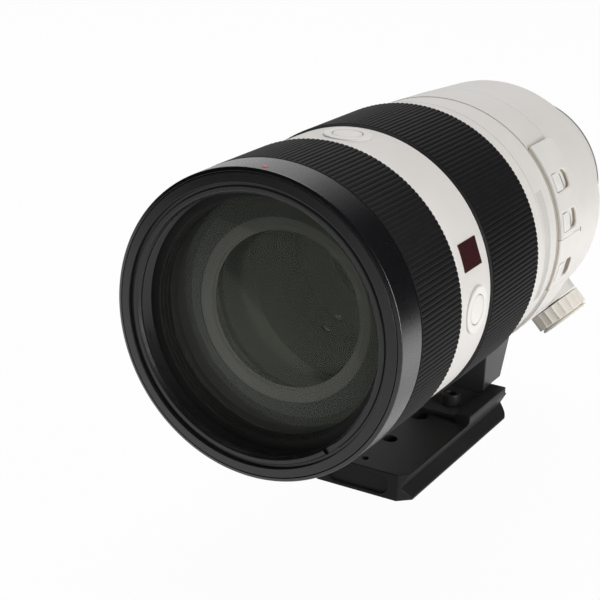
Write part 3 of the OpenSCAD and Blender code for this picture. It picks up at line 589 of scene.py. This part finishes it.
def bowl(radius, edge, sag, outwards):
    """Points of a ground face from its edge to the axis. A sag above 0 bulges towards -Y."""
    ball = (radius * radius + sag * sag) / (2 * abs(sag))
    spots = []
    for k in range(GLASS_STEPS + 1):
        r = radius * (1 - k / GLASS_STEPS)
        drop = math.sqrt(ball * ball - r * r) - (ball - abs(sag))
        spots.append((r, edge - math.copysign(drop, sag)))
    return spots if outwards else spots[::-1]


def blank(name, node, front_sag, back_sag, material):
    """A glass that fills its node. Each sag is how far that face stands out towards -Y."""
    front, back, radius = extent(node)
    edge_front = front + max(front_sag, 0)
    edge_back = back + min(back_sag, 0)
    ring = bowl(radius, edge_front, front_sag, False) + bowl(radius, edge_back, back_sag, True)
    body = frame["nodes"][node]["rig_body"]
    glass = fit(lathe(name, ring, material, FACETS // 2), body, "coated_glass", node)
    glass.visible_shadow = False


blank("front_glass", "front_element", front_sag=4.3, back_sag=1.5, material=coated_glass)
blank("second_glass", "second_element", front_sag=-1.2, back_sag=1.5, material=inner_glass)
blank("third_glass", "third_element", front_sag=-1.0, back_sag=-1.5, material=inner_glass)


# Focus ring
# A moulded rubber sleeve with straight ribs, stretched over a black alloy ring that turns on the
# front barrel's hub without stops.
grip_rubber, rubber_shader, place = finish("grip_rubber", Specular_IOR_Level=0.12)
pores = place.grain(0.25, 3.0, 0.7)
dust = place.grain(5, 4.0, 0.6)
grip_r = extent("focus_grip")[2]
rib_h = 0.4
crest = place.radius().ease((grip_r - rib_h) * MM, grip_r * MM)
rubber_tone = (dust - 0.5) * 0.4 + (pores - 0.5) * 0.3 - crest * 0.45 + 0.7
rubber_colour = rubber_tone.blend(rgb(0.005, 0.005, 0.005), rgb(0.017, 0.017, 0.017))
feed(place, rubber_shader, Base_Color=rubber_colour,
     Roughness=(pores - 0.5) * 0.2 - crest * 0.06 + 0.66, Normal=raised(place, pores, 0.006))

round_axis = bpy.data.node_groups.new("repeat_round_axis", "GeometryNodeTree")
axis_inputs = {"Piece": "Geometry", "Count": "Int", "First Angle": "Float",
               "Step Angle": "Float", "Material": "Material"}
for socket, kind in axis_inputs.items():
    round_axis.interface.new_socket(socket, in_out="INPUT", socket_type="NodeSocket" + kind)
round_axis.interface.new_socket("Geometry", in_out="OUTPUT", socket_type="NodeSocketGeometry")
entry = round_axis.nodes.new("NodeGroupInput")
piece, count, first_angle, step_angle, look = (
    Wire(round_axis, entry.outputs[name]) for name in axis_inputs)
angle = first_angle + piece.node("GeometryNodeInputIndex") * step_angle
about_axis = piece.node("ShaderNodeCombineXYZ", None, {"Y": angle})
swing = piece.node("FunctionNodeEulerToRotation", None, {0: about_axis})
spots = piece.node("GeometryNodePoints", None, {"Count": count})
copies = piece.node("GeometryNodeInstanceOnPoints", None,
                    {"Points": spots, "Instance": piece, "Rotation": swing})
solid = piece.node("GeometryNodeRealizeInstances", None, {0: copies})
dressed = piece.node("GeometryNodeSetMaterial", None, {"Geometry": solid, "Material": look})
leave = round_axis.nodes.new("NodeGroupOutput")
round_axis.links.new(dressed.socket, leave.inputs["Geometry"])


def repeated(obj, number, first, step, material):
    """Repeats a piece round the optical axis, with angles in degrees from the top towards +X."""
    values = {"Count": number, "First Angle": math.radians(first), "Step Angle": math.radians(step),
              "Material": material}
    modifier = obj.modifiers.new("repeat", "NODES")
    modifier.node_group = round_axis
    for item in round_axis.interface.items_tree:
        if item.in_out == "INPUT" and item.name in values:
            modifier[item.identifier] = values[item.name]
    return plain(obj)


def bar(name, section, stations, material):
    """A bar along the axis, of (across, radius) points. Each station is (y, how far it is lowered)."""
    wide = len(section)
    spots = [(x * MM, y * MM, (z - lower) * MM) for y, lower in stations for x, z in section]
    bays = range(len(stations) - 1)
    faces = [(a * wide + i, a * wide + i + 1, (a + 1) * wide + i + 1, (a + 1) * wide + i)
             for a in bays for i in range(wide - 1)]
    faces += [(a * wide, (a + 1) * wide, (a + 2) * wide - 1, (a + 1) * wide - 1) for a in bays]
    faces += [tuple(range(wide)), tuple(len(spots) - 1 - i for i in range(wide))]
    return closed(name, spots, faces, material)


rib_n = 180
rib_sink = 0.3
root_t = 1
root_rise = 0.1
lip_drop = 0.05
rib_section = [(-0.79, -rib_sink), (-0.77, 0.06), (-0.66, 0.24), (-0.42, 0.36), (0, rib_h),
               (0.42, 0.36), (0.66, 0.24), (0.77, 0.06), (0.79, -rib_sink)]


def ribbed(name, node, body, lip):
    """A rubber sleeve: a root ring with a smooth lip in front, and ribs that stand on it."""
    front, back, radius = extent(node)
    root = radius - rib_h
    bore = root - root_t
    groove_r = root + root_rise
    smooth_r = radius - lip_drop
    ribs_front = front + lip
    ring = lathe(name + "_root", [
        (bore, front), (smooth_r, front, 0.15), (smooth_r, ribs_front, 0.1), (groove_r, ribs_front),
        (groove_r, back, 0.15), (bore, back)], grip_rubber)
    fit(ring, body, "grip_rubber")
    section = [(x, root + z) for x, z in rib_section]
    stations = [(ribs_front - 0.1, 0.1), (ribs_front + 0.1, 0), (back - 0.25, 0), (back - 0.05, 0.2)]
    rib = bar(name + "_ribs", section, stations, grip_rubber)
    ribs = repeated(rib, rib_n, 0, 360 / rib_n, grip_rubber)
    fit(ribs, body, "grip_rubber", node)


ribbed("focus_rubber", "focus_grip", "focus_ring", lip=0.45)


# Pale band
# A white-sprayed alloy band behind the focus ring. It is bored for three hold buttons and
# milled for the badge.
warm_white = sprayed("warm_white_paint", rgb(0.70, 0.675, 0.645), rgb(0.655, 0.632, 0.602),
                     rough=0.40, speck=0.22, depth=0.005)
trimmed("pale_band", "pale_band_shell", 0.15, warm_white, "front_group", "pale_shell")


# Badge
# A small plain plate of light alloy, enamelled dark red. It is let into the milled pocket of
# the pale band and glued.
badge_enamel = sprayed("dark_red_enamel", rgb(0.050, 0.014, 0.016), rgb(0.030, 0.009, 0.010),
                       rough=0.22, speck=0.3, depth=0.003)
trimmed("badge_plate", "badge_bare", 0.12, badge_enamel, "front_group", "badge_red")


# Hold buttons
# Three moulded caps on stems, each in a flat bezel ring pressed into the band. They press
# straight in against springs.
white_moulding = sprayed("white_moulding", rgb(0.76, 0.74, 0.705), rgb(0.72, 0.70, 0.67),
                         rough=0.46, speck=0.3, depth=0.006)
trimmed("button_bezels", "button_bezel_rings", 0.35, white_moulding,
        "front_group", "pale_plastic", steps=3)
for side in ("top", "right", "left"):
    trimmed("hold_button_" + side, "hold_cap_" + side, 0.25, white_moulding,
            "button_" + side, "pale_plastic", steps=3)


# Zoom ring
# A black alloy sleeve with a smooth lip in front and a ribbed rubber grip behind it. It turns
# a quarter turn on the main tube.
matt_black = sprayed("matt_black_paint", rgb(0.013, 0.013, 0.0135), rgb(0.008, 0.008, 0.0085),
                     rough=0.58, speck=0.2, depth=0.006, specular=0.25)
lip_front, sleeve_end, sleeve_lip = extent("zoom_sleeve")
sleeve_r = extent("focus_sleeve")[2]
lip_back = extent("zoom_grip")[0]
lip_face_r = 45.4
lip_slope = 0.6
web_t = 1.9
web_bore = 37.6
sleeve_bore = 41.3
fit(lathe("zoom_sleeve_turned", [
    (web_bore, lip_front), (lip_face_r, lip_front, 0.15), (sleeve_lip, lip_front + lip_slope, 0.2),
    (sleeve_lip, lip_back, 0.1), (sleeve_r, lip_back), (sleeve_r, sleeve_end),
    (sleeve_bore, sleeve_end), (sleeve_bore, lip_front + web_t), (web_bore, lip_front + web_t)],
    matt_black), "zoom_ring", "black_plastic", "zoom_sleeve")
ribbed("zoom_rubber", "zoom_grip", "zoom_ring", lip=0.2)


# Fixed ring and torque ring
# Two white-sprayed alloy rings behind the zoom ring. The front one is fixed, and the rear one
# sets the drag of the zoom ring and has fine knurling where the fingers hold it.
ring_front, ring_back, ring_r = extent("fixed_ring")
ring_bore = 41.05
fit(lathe("fixed_ring_turned", [
    (ring_bore, ring_front), (ring_r, ring_front, 0.3), (ring_r, ring_back, 0.2),
    (ring_bore, ring_back)], warm_white), "barrel", "pale_shell", "fixed_ring")
torque_front, torque_back, torque_r = extent("torque_ring")
torque_end_r = torque_r - 0.8
torque_bore = 41.3
fit(lathe("torque_ring_turned", [
    (torque_bore, torque_front), (torque_r, torque_front, 0.2), (torque_end_r, torque_back, 0.3),
    (torque_bore, torque_back)], warm_white), "torque_ring", "pale_plastic", "torque_ring")
knurl_grey = sprayed("knurl_grey", rgb(0.57, 0.555, 0.53), rgb(0.52, 0.505, 0.48),
                     rough=0.5, speck=0.3, depth=0.004)
knurl_n = 60
knurl_from = 62
knurl_step = 0.8
knurl_section = [(x, torque_r + z) for x, z in (
    (-0.14, -0.3), (-0.12, -0.04), (-0.05, 0.08), (0.05, 0.08), (0.12, -0.04), (0.14, -0.3))]
knurl_stations = [(torque_front + 0.9, 0.25), (torque_front + 1.1, 0.04),
                  (torque_front + 6.6, 0.34), (torque_front + 6.8, 0.55)]
knurl = bar("torque_ring_knurl", knurl_section, knurl_stations, knurl_grey)
fit(repeated(knurl, knurl_n, knurl_from, knurl_step, knurl_grey), "torque_ring", "pale_plastic")


# Rear barrel and switch panel
# A white-sprayed alloy barrel, with a moulded panel let into its right side. The panel has a
# step between its halves and a window for each of the three switches.
trimmed("rear_barrel", "rear_barrel_shell", 0.12, warm_white, "barrel", "pale_shell")
panel_front, panel_back = extent("switch_panel")[:2]
panel_base = 43.4
panel_top = 45.7
panel_step = 0.4
panel_round = 0.45
panel_corner = 1.2
panel_from = 44
panel_split = 86
panel_gap = 0.25
panel_to = 109.5
split_corner = 0.3
slide_front = extent("focus_switch")[0]
window_front = slide_front - 0.2
window_back = window_front + 12
window_w = 6.4
window_corner = 0.6
window_far_corner = 1.8
pocket_depth = 1.5
strip = math.radians(1.25)


def moulding(name, loops, base, top, edge, material):
    """A plate wrapped round the axis, from loops in (arc length, y).

    A loop that lies inside another is a hole in it.
    """
    curve = bpy.data.curves.new(name, "CURVE")
    curve.dimensions = "2D"
    curve.fill_mode = "BOTH"
    curve.extrude = ((top - base) / 2 - edge) * MM
    curve.bevel_depth = edge * MM
    curve.bevel_resolution = 2
    curve.offset = -edge * MM
    for loop in loops:
        spots = eased(loop, steps=6)
        spline = curve.splines.new("POLY")
        spline.points.add(len(spots) - 1)
        for point, spot in zip(spline.points, spots):
            point.co = (spot.x * MM, spot.y * MM, 0, 1)
        spline.use_cyclic_u = True
    obj = bpy.data.objects.new(name, curve)
    bpy.context.collection.objects.link(obj)
    mesh = bpy.data.meshes.new_from_object(obj.evaluated_get(bpy.context.evaluated_depsgraph_get()))
    bpy.data.objects.remove(obj)
    build = bmesh.new()
    build.from_mesh(mesh)
    bmesh.ops.remove_doubles(build, verts=build.verts, dist=MERGE)
    width = max(v.co.x for v in build.verts)
    cuts = int(width / (strip * top * MM)) + 1
    for k in range(-cuts, cuts + 1):
        everything = build.verts[:] + build.edges[:] + build.faces[:]
        bmesh.ops.bisect_plane(build, geom=everything, dist=1e-7,
                               plane_co=(k * strip * top * MM, 0, 0), plane_no=(1, 0, 0))
    for v in build.verts:
        swing = v.co.x / (top * MM)
        radius = (base + top) / 2 * MM + v.co.z
        v.co = (radius * math.sin(swing), v.co.y, radius * math.cos(swing))
    bmesh.ops.recalc_face_normals(build, faces=build.faces)
    build.to_mesh(mesh)
    build.free()
    return shaded(name, mesh, material)


def swung(obj, angle):
    """Swings a finished mesh round the axis, from the top towards +X."""
    obj.data.transform(Matrix.Rotation(math.radians(angle), 4, "Y"))
    return obj


# The panel's colour is set by radius. Low on its walls it is dark, as painted shade, then cream, as
# painted warm light, and above that it keeps its own white.
painted_shade_r = 44.1
painted_warm_light_r = 44.75
end_shade_top_r = 44.9
edge_r = 44.8
white_r = 45.2
# A painted shadow darkens the low parts of the panel from just before the windows' rear ends
# backwards, so that the far end of each window reads as shade.
end_shade_front = window_back - 2.1
end_shade_back = window_back - 1.6
panel_moulding, panel_shader, place = finish("panel_moulding", Specular_IOR_Level=0.5)
fine = place.grain(0.3, 3.0, 0.6)
drift = place.grain(18, 2.0)
height = place.radius()
panel_tone = ((fine - 0.5) * 0.5 + (drift - 0.5) * 0.7 + 0.5).ease(0.1, 0.9)
panel_white = panel_tone.blend(rgb(0.66, 0.64, 0.61), rgb(0.70, 0.68, 0.645))
panel_painted_warm_light = panel_tone.blend(rgb(0.62, 0.56, 0.45), rgb(0.66, 0.60, 0.49))
panel_painted_shade = panel_tone.blend(rgb(0.20, 0.17, 0.13), rgb(0.26, 0.22, 0.17))
panel_painted_end_shade = panel_tone.blend(rgb(0.31, 0.265, 0.21), rgb(0.36, 0.31, 0.25))
panel_painted_wall_shading = height.ease(painted_shade_r * MM, painted_warm_light_r * MM).blend(panel_painted_shade, panel_painted_warm_light)
panel_white_and_painted_shade = height.ease(edge_r * MM, white_r * MM).blend(panel_painted_wall_shading, panel_white)
window_end = place.along(REARWARDS).ease(end_shade_front * MM, end_shade_back * MM)
painted_window_end_shade = window_end * (1 - height.ease(end_shade_top_r * MM, white_r * MM))
feed(place, panel_shader, Base_Color=painted_window_end_shade.blend(panel_white_and_painted_shade, panel_painted_end_shade),
     Roughness=(fine - 0.5) * 0.16 + 0.46, Normal=raised(place, fine, 0.006))
switches = {"focus_switch": 62.4, "range_switch": 79.4, "steady_switch": 101.5}


def panel_half(name, start, end, top, near, far):
    """One half of the panel, with windows for the switches between its ends."""
    middle = (start + end) / 2
    half = math.radians(end - start) / 2 * top
    loops = [[(-half, panel_front, near), (half, panel_front, far),
              (half, panel_back, far), (-half, panel_back, near)]]
    for spot in switches.values():
        if start < spot < end:
            x = math.radians(spot - middle) * top
            left = x - window_w / 2
            right = x + window_w / 2
            loops.append([(left, window_front, window_corner),
                          (left, window_back, window_far_corner),
                          (right, window_back, window_far_corner),
                          (right, window_front, window_corner)])
    return swung(moulding(name, loops, panel_base, top, panel_round, panel_moulding), middle)


fit(panel_half("switch_panel_upper", panel_from, panel_split, panel_top,
               panel_corner, split_corner), "barrel", "pale_plastic", "switch_panel")
fit(panel_half("switch_panel_lower", panel_split + panel_gap, panel_to, panel_top - panel_step,
               split_corner, panel_corner), "barrel", "pale_plastic")
slide_back = extent("focus_switch")[1]
slider_moulding, slider_shader, place = finish("slider_moulding", Specular_IOR_Level=0.5)
fine = place.grain(0.3, 3.0, 0.6)
slider_white = fine.blend(rgb(0.72, 0.70, 0.67), rgb(0.76, 0.74, 0.705))
# The rear strip of each slider, about 0.7 mm deep, is painted dark as the shadow line behind it.
edge_front = slide_back - 0.85
edge_back = slide_back - 0.7
painted_shadow_line = place.along(REARWARDS).ease(edge_front * MM, edge_back * MM)
feed(place, slider_shader, Base_Color=painted_shadow_line.blend(slider_white, rgb(0.10, 0.09, 0.075)),
     Roughness=(fine - 0.5) * 0.16 + 0.46, Normal=raised(place, fine, 0.006))
pocket_lap = 0.6
pocket_base = panel_base + 0.1
pocket_round = 0.1
slide_half = 3
slide_corner = 0.5
slide_far_corner = 1.7
slide_round = 0.2
slide_proud = 0.12
slide_gap = 0.1
ridge_shares = (0.3, 0.5, 0.7)
ridge_half = 2.3
ridge_w = 0.4
ridge_h = 0.12
ridge_corner = 0.1
ridge_round = 0.05


def oblong(half, front, back, corner, far=None):
    """A loop with rounded corners, in (arc length, y). The rear ones may have their own radius."""
    far = far or corner
    return [(-half, front, corner), (half, front, corner), (half, back, far), (-half, back, far)]


for name, angle in switches.items():
    top = panel_top if angle < panel_split else panel_top - panel_step
    floor_r = top - pocket_depth
    pocket_loop = oblong(window_w / 2 + pocket_lap, window_front - pocket_lap,
                         window_back + pocket_lap, slide_corner)
    pocket = moulding(name + "_pocket", [pocket_loop], pocket_base, floor_r,
                      pocket_round, white_moulding)
    fit(swung(pocket, angle), "barrel", "pale_plastic")
    cap_loop = oblong(slide_half, slide_front, slide_back, slide_corner, slide_far_corner)
    cap = moulding(name + "_slider", [cap_loop], floor_r + slide_gap, top + slide_proud,
                   slide_round, slider_moulding)
    fit(swung(cap, angle), name, "pale_plastic", name)
    ridges = []
    for share in ridge_shares:
        y = slide_front + (slide_back - slide_front) * share
        ridges.append(oblong(ridge_half, y - ridge_w / 2, y + ridge_w / 2, ridge_corner))
    ridge = moulding(name + "_ridges", ridges, top, top + slide_proud + ridge_h,
                     ridge_round, white_moulding)
    fit(swung(ridge, angle), name, "pale_plastic")


# Tail and collar
# The tail is a white-sprayed alloy shell that tapers to the mount. The collar in front of it is
# a ring lined with felt, with a lug for the foot and a boss for the lock knob. Enamel fills the
# collar's index line and the dot at the mount.
trimmed("tail_barrel", "tail_barrel_shell", 0.3, warm_white, "barrel", "pale_shell")
trimmed("collar_ring", "collar_shell", 0.35, warm_white, "collar", "pale_shell")
black_enamel = enamel("black_enamel", rgb(0.02, 0.02, 0.02), rgb(0.012, 0.012, 0.012))
mark_front = extent("collar_ring")[0] + 5.4
mark_back = mark_front + 0.8
mark_half = 0.85
mark_corner = 0.2
mark_r = 43.26
mark_sunk = 0.3
mark_proud = 0.03
mark_round = 0.01
mark_angle = 89.2
mark = moulding("collar_mark", [oblong(mark_half, mark_front, mark_back, mark_corner)],
                mark_r - mark_sunk, mark_r + mark_proud, mark_round, black_enamel)
fit(swung(mark, mark_angle), "collar", "black_plastic")
white_enamel = enamel("white_enamel", rgb(0.86, 0.86, 0.85), rgb(0.80, 0.80, 0.79))
trimmed("mount_index_dot", "mount_index_spot", 0.08, white_enamel, "barrel", "dot_white")


# Lock knob
# A moulded knob with shallow flutes in its rim and a thin disc on its end. It is fixed on the
# screw that clamps the collar.
warm_moulding = sprayed("warm_moulding", rgb(0.80, 0.765, 0.69), rgb(0.75, 0.71, 0.64),
                        rough=0.6, speck=0.35, depth=0.008, specular=0.3)
knob_angle = 135
knob_swing = Matrix.Rotation(math.radians(knob_angle), 4, "Y")
knob_aim = knob_swing @ Vector((0, 0, 1))
knob_low, knob_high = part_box("lock_knob")
knob_r = (knob_high.y - knob_low.y) / 2 / MM
knob_reach = [v.co.dot(knob_aim) / MM for v in frame["nodes"]["lock_knob"].data.vertices]
knob_tip = min(knob_reach)
knob_top = max(knob_reach)
disc_r = knob_r - 0.9
disc_base = knob_top - 0.8
neck_r = knob_r - 1.4
knob_end = disc_base - 0.5
knob_base = knob_end - 5.6
stem_r = 2.5
flute_n = 20
flute_depth = 0.4
flute_power = 2.5
flute_facets = 12
flute_from = knob_r - 0.5


def flute(radius, angle):
    """Broad hollows with narrow ridges between them, in the knob's rim."""
    if radius < flute_from:
        return radius
    across = angle * flute_n / (2 * math.pi) % 1 * 2 - 1
    return radius - flute_depth * (1 - abs(across) ** flute_power)


knob = lathe("lock_knob_fluted", [
    (0, knob_tip), (stem_r, knob_tip, 0.2), (stem_r, knob_base), (knob_r, knob_base, 0.3),
    (knob_r, knob_end, 0.3), (neck_r, knob_end), (neck_r, disc_base), (disc_r, disc_base, 0.1),
    (disc_r, knob_top, 0.25), (0, knob_top)], warm_moulding, flute_facets * flute_n, flute)
knob_upright = Matrix.Rotation(math.radians(90), 4, "X")
knob_middle = Matrix.Translation((0, (knob_low.y + knob_high.y) / 2, 0))
knob.data.transform(knob_upright)
knob.data.transform(knob_middle @ knob_swing)
fit(knob, "lock_knob", "pale_plastic", "lock_knob")


# Foot
# A milled alloy post and dovetail plate, bead-blasted and black anodised, held together by two
# socket-head screws of blackened steel.
def anodised(name, colour, shade, rough, specular):
    """Bead-blasted and dyed alloy: fine pits under an even sheen."""
    material, shader, place = finish(name, Specular_IOR_Level=specular)
    blast = place.grain(0.12, 3.0, 0.7)
    sheen = place.grain(14, 3.0)
    tone = (blast - 0.5) * 0.5 + (sheen - 0.5) * 0.6 + 0.5
    feed(place, shader, Base_Color=tone.ease(0.1, 0.9).blend(shade, colour),
         Roughness=(blast - 0.5) * 0.2 + (sheen - 0.5) * 0.1 + rough,
         Normal=raised(place, blast, 0.006))
    return material


post_black = anodised("post_anodise", rgb(0.036, 0.036, 0.036), rgb(0.028, 0.028, 0.028),
                      rough=0.38, specular=0.5)
plate_black = anodised("plate_anodise", rgb(0.018, 0.018, 0.018), rgb(0.012, 0.012, 0.012),
                       rough=0.5, specular=0.2)
blackened = sprayed("blackened_steel", rgb(0.028, 0.028, 0.029), rgb(0.016, 0.016, 0.016),
                    rough=0.34, speck=0.3, depth=0.004)
trimmed("foot_post", "foot_post_milled", 0.4, post_black, "collar", "foot_alloy")
trimmed("foot_plate", "foot_plate_milled", 0.3, plate_black, "collar", "foot_alloy")
trimmed("foot_screws", "foot_socket_screws", 0.25, blackened, "collar", "screw_black")


# Mount
# A bright turned steel bayonet ring held by four screws, with a rubber gasket round it and a
# black contact block inside.
turned_steel = turned("turned_steel", rgb(0.66, 0.66, 0.67), rgb(0.52, 0.52, 0.53),
                      rough=0.26, line=0.3, depth=0.002, metal=1.0)
moulded_black = sprayed("moulded_black", rgb(0.020, 0.020, 0.021), rgb(0.012, 0.012, 0.012),
                        rough=0.5, speck=0.3, depth=0.006)
trimmed("mount_ring", "mount_bayonet", 0.12, turned_steel, "barrel", "bright_steel")
trimmed("mount_screws", "mount_screw_heads", 0.06, turned_steel, "barrel", "bright_steel")
trimmed("contact_block", "contact_pins", 0.1, moulded_black, "barrel", "black_plastic")


# Inner pieces
# The drive, the cells and the tubes inside the barrel keep their machined shapes. Each gets the
# finish of its metal, paint or moulding.
cam_alloy = turned("cam_alloy", rgb(0.62, 0.60, 0.54), rgb(0.48, 0.46, 0.41),
                   rough=0.34, line=0.4, depth=0.003, metal=1.0)
brass = turned("turned_brass", rgb(0.74, 0.56, 0.27), rgb(0.58, 0.42, 0.18),
               rough=0.30, line=0.3, depth=0.002, metal=1.0)
blade_steel = turned("blade_steel", rgb(0.075, 0.075, 0.08), rgb(0.05, 0.05, 0.052),
                     rough=0.45, line=0.3, depth=0.002, metal=0.8)
copper = sprayed("lacquered_copper", rgb(0.55, 0.25, 0.10), rgb(0.40, 0.17, 0.06),
                 rough=0.32, speck=0.3, depth=0.01)
board_green = sprayed("board_green", rgb(0.03, 0.17, 0.08), rgb(0.02, 0.12, 0.05),
                      rough=0.38, speck=0.8, depth=0.008)
gasket_grey = sprayed("gasket_grey", rgb(0.17, 0.17, 0.17), rgb(0.13, 0.13, 0.13),
                      rough=0.6, speck=0.3, depth=0.01, specular=0.3)
felt = sprayed("grey_felt", rgb(0.16, 0.16, 0.16), rgb(0.08, 0.08, 0.08),
               rough=0.85, speck=0.5, depth=0.05, specular=0.2)
inner = {
    flat_black: ("main_tube", "extension_tube", "focus_sleeve", "optics_tube",
                 "focus_cell", "steady_frame", "steady_cell", "rear_cell"),
    baffle_grey: ("variator_cell", "iris_unit"),
    cam_alloy: ("cam_tube", "steady_slide"),
    brass: ("cam_followers",),
    turned_steel: ("zoom_key", "guide_rods", "focus_magnet"),
    blade_steel: ("iris_blades",),
    copper: ("focus_coil",),
    board_green: ("main_board",),
    felt: ("collar_liner",),
    gasket_grey: ("mount_seal",),
    inner_glass: ("variator_glass", "focus_glass", "steady_glass", "rear_glass"),
}
for material, nodes in inner.items():
    for node in nodes:
        mesh = frame["nodes"][node].data
        mesh.materials.clear()
        mesh.materials.append(material)


# Stage
# A white floor and surround. In reflections the floor glows with a painted brightness, painted
# darker towards the front right. A broad soft lamp hangs above and a low one stands at the right,
# with a narrow one on the floor and one on the front. A black card at the right rear, seen only in
# reflections, paints a dark streak along the barrel.
floor_half = 3.0
floor_gap = 0.0002
floor_level = cad_low.z - floor_gap
floor_even = 0.965
mirrored_near = 0.64
mirrored_far = 0.1
fade_way = (0.35, -0.94, 0.0)
fade_from = 0.20
fade_to = 0.44


def sheet_of_card(name, corners, material):
    """A flat stage sheet with these corners in metres."""
    mesh = bpy.data.meshes.new(name)
    mesh.from_pydata(corners, [], [tuple(range(len(corners)))])
    mesh.materials.append(material)
    obj = bpy.data.objects.new(name, mesh)
    bpy.context.collection.objects.link(obj)
    return obj


floor_white, floor_shader, place = finish(
    "floor_white", Base_Color=rgb(0.80, 0.80, 0.80), Roughness=0.9)
rays = place.tree.nodes.new("ShaderNodeLightPath").outputs
seen = Wire(place.tree, rays["Is Camera Ray"]) + Wire(place.tree, rays["Is Transmission Ray"])
mirrored = Wire(place.tree, rays["Is Glossy Ray"])
glow = place.node("ShaderNodeEmission", None, {"Color": rgb(1, 1, 1), "Strength": 1.0})
# Painted reflection: in glossy rays the floor glows strongly near the lens and is painted darker
# towards the front right.
painted_reflection_fade = place.along(fade_way).ease(fade_from, fade_to)
painted_reflection_level = painted_reflection_fade * (mirrored_far - mirrored_near) + mirrored_near
even_white = place.node("ShaderNodeMixShader", None, {
    0: seen * floor_even + mirrored * painted_reflection_level,
    1: Wire(place.tree, floor_shader.outputs[0]),
    2: glow})
place.tree.links.new(even_white.socket, place.tree.nodes["Material Output"].inputs["Surface"])
sheet_of_card("floor", [(x * floor_half, y * floor_half, floor_level)
                        for x, y in ((-1, -1), (1, -1), (1, 1), (-1, 1))], floor_white)

card_black = finish("card_black", Base_Color=rgb(0.004, 0.004, 0.004), Roughness=0.9,
                    Specular_IOR_Level=0.0)[0]
middle = (cad_low + cad_high) / 2
card_way = Vector((0.545, 0.839, 0))
card_side = Vector((0.839, -0.545, 0))
card_far = 0.45
card_half = 0.26
card_top = 0.26
card_foot = middle + card_way * card_far
card_ends = [card_foot + card_side * card_half, card_foot - card_side * card_half]
card_rows = ((floor_level, card_ends), (card_top, card_ends[::-1]))
card = sheet_of_card(
    "card", [(end.x, end.y, level) for level, ends in card_rows for end in ends], card_black)
# The card shows only in glossy rays. It is a painted dark reflection and shades nothing.
card.visible_camera = False
card.visible_diffuse = False
card.visible_shadow = False
card.visible_transmission = False

world = bpy.data.worlds.new("surround")
world.use_nodes = True
bpy.context.scene.world = world
air = world.node_tree
backdrop = air.nodes["Background"]
backdrop.inputs["Color"].default_value = rgb(1, 1, 1)
bearing = Wire(air, air.nodes.new("ShaderNodeTexCoord").outputs["Generated"])
rays = air.nodes.new("ShaderNodeLightPath").outputs
seen = Wire(air, rays["Is Camera Ray"]) + Wire(air, rays["Is Transmission Ray"])
mirrored = Wire(air, rays["Is Glossy Ray"])
bright_way = Vector((-0.60, 0.78, 0.15)).normalized()
bright_from = 0.62
bright_to = 1.08
fill_level = 0.3
bright = bearing.along(bright_way).ease(bright_from, bright_to)
hidden = 1 - seen.sum("MINIMUM", seen + mirrored, 1.0)
air_level = seen + mirrored * bright + hidden * fill_level
air.links.new(air_level.socket, backdrop.inputs["Strength"])


def hung(name, light, stand, aim):
    """Hangs a lamp where it stands, turned to its aim."""
    obj = bpy.data.objects.new(name, light)
    obj.location = stand
    obj.rotation_euler = (Vector(aim) - Vector(stand)).to_track_quat("-Z", "Y").to_euler()
    obj.visible_transmission = False
    bpy.context.collection.objects.link(obj)
    return obj


def lamp(name, stand, aim, size, watts):
    """A soft lamp of that width and height that points at aim."""
    light = bpy.data.lights.new(name, "AREA")
    light.shape = "RECTANGLE"
    light.size, light.size_y = size
    light.energy = watts
    hung(name, light, stand, aim)


lamp("lamp_above", (-0.35, 0.25, 1.05), middle, (0.9, 0.9), watts=8)
lamp("lamp_right", (1.05, -0.25, 0.15), middle, (0.35, 0.7), watts=8)


def narrow_lamp(name, stand, aim, degrees, watts):
    """A narrow lamp that leaves no highlight."""
    light = bpy.data.lights.new(name, "SPOT")
    light.energy = watts
    light.spot_size = math.radians(degrees)
    light.spot_blend = 0.5
    light.shadow_soft_size = 0.02
    hung(name, light, stand, aim).visible_glossy = False


narrow_lamp("lamp_floor", (0.24, -0.02, 0.85), (0.24, -0.02, 0.0), degrees=20, watts=60)
narrow_lamp("lamp_front", (0.60, -0.95, 0.72), (0.0, -0.18, 0.0), degrees=3.8, watts=38)
bpy.context.scene.view_settings.view_transform = "Standard"
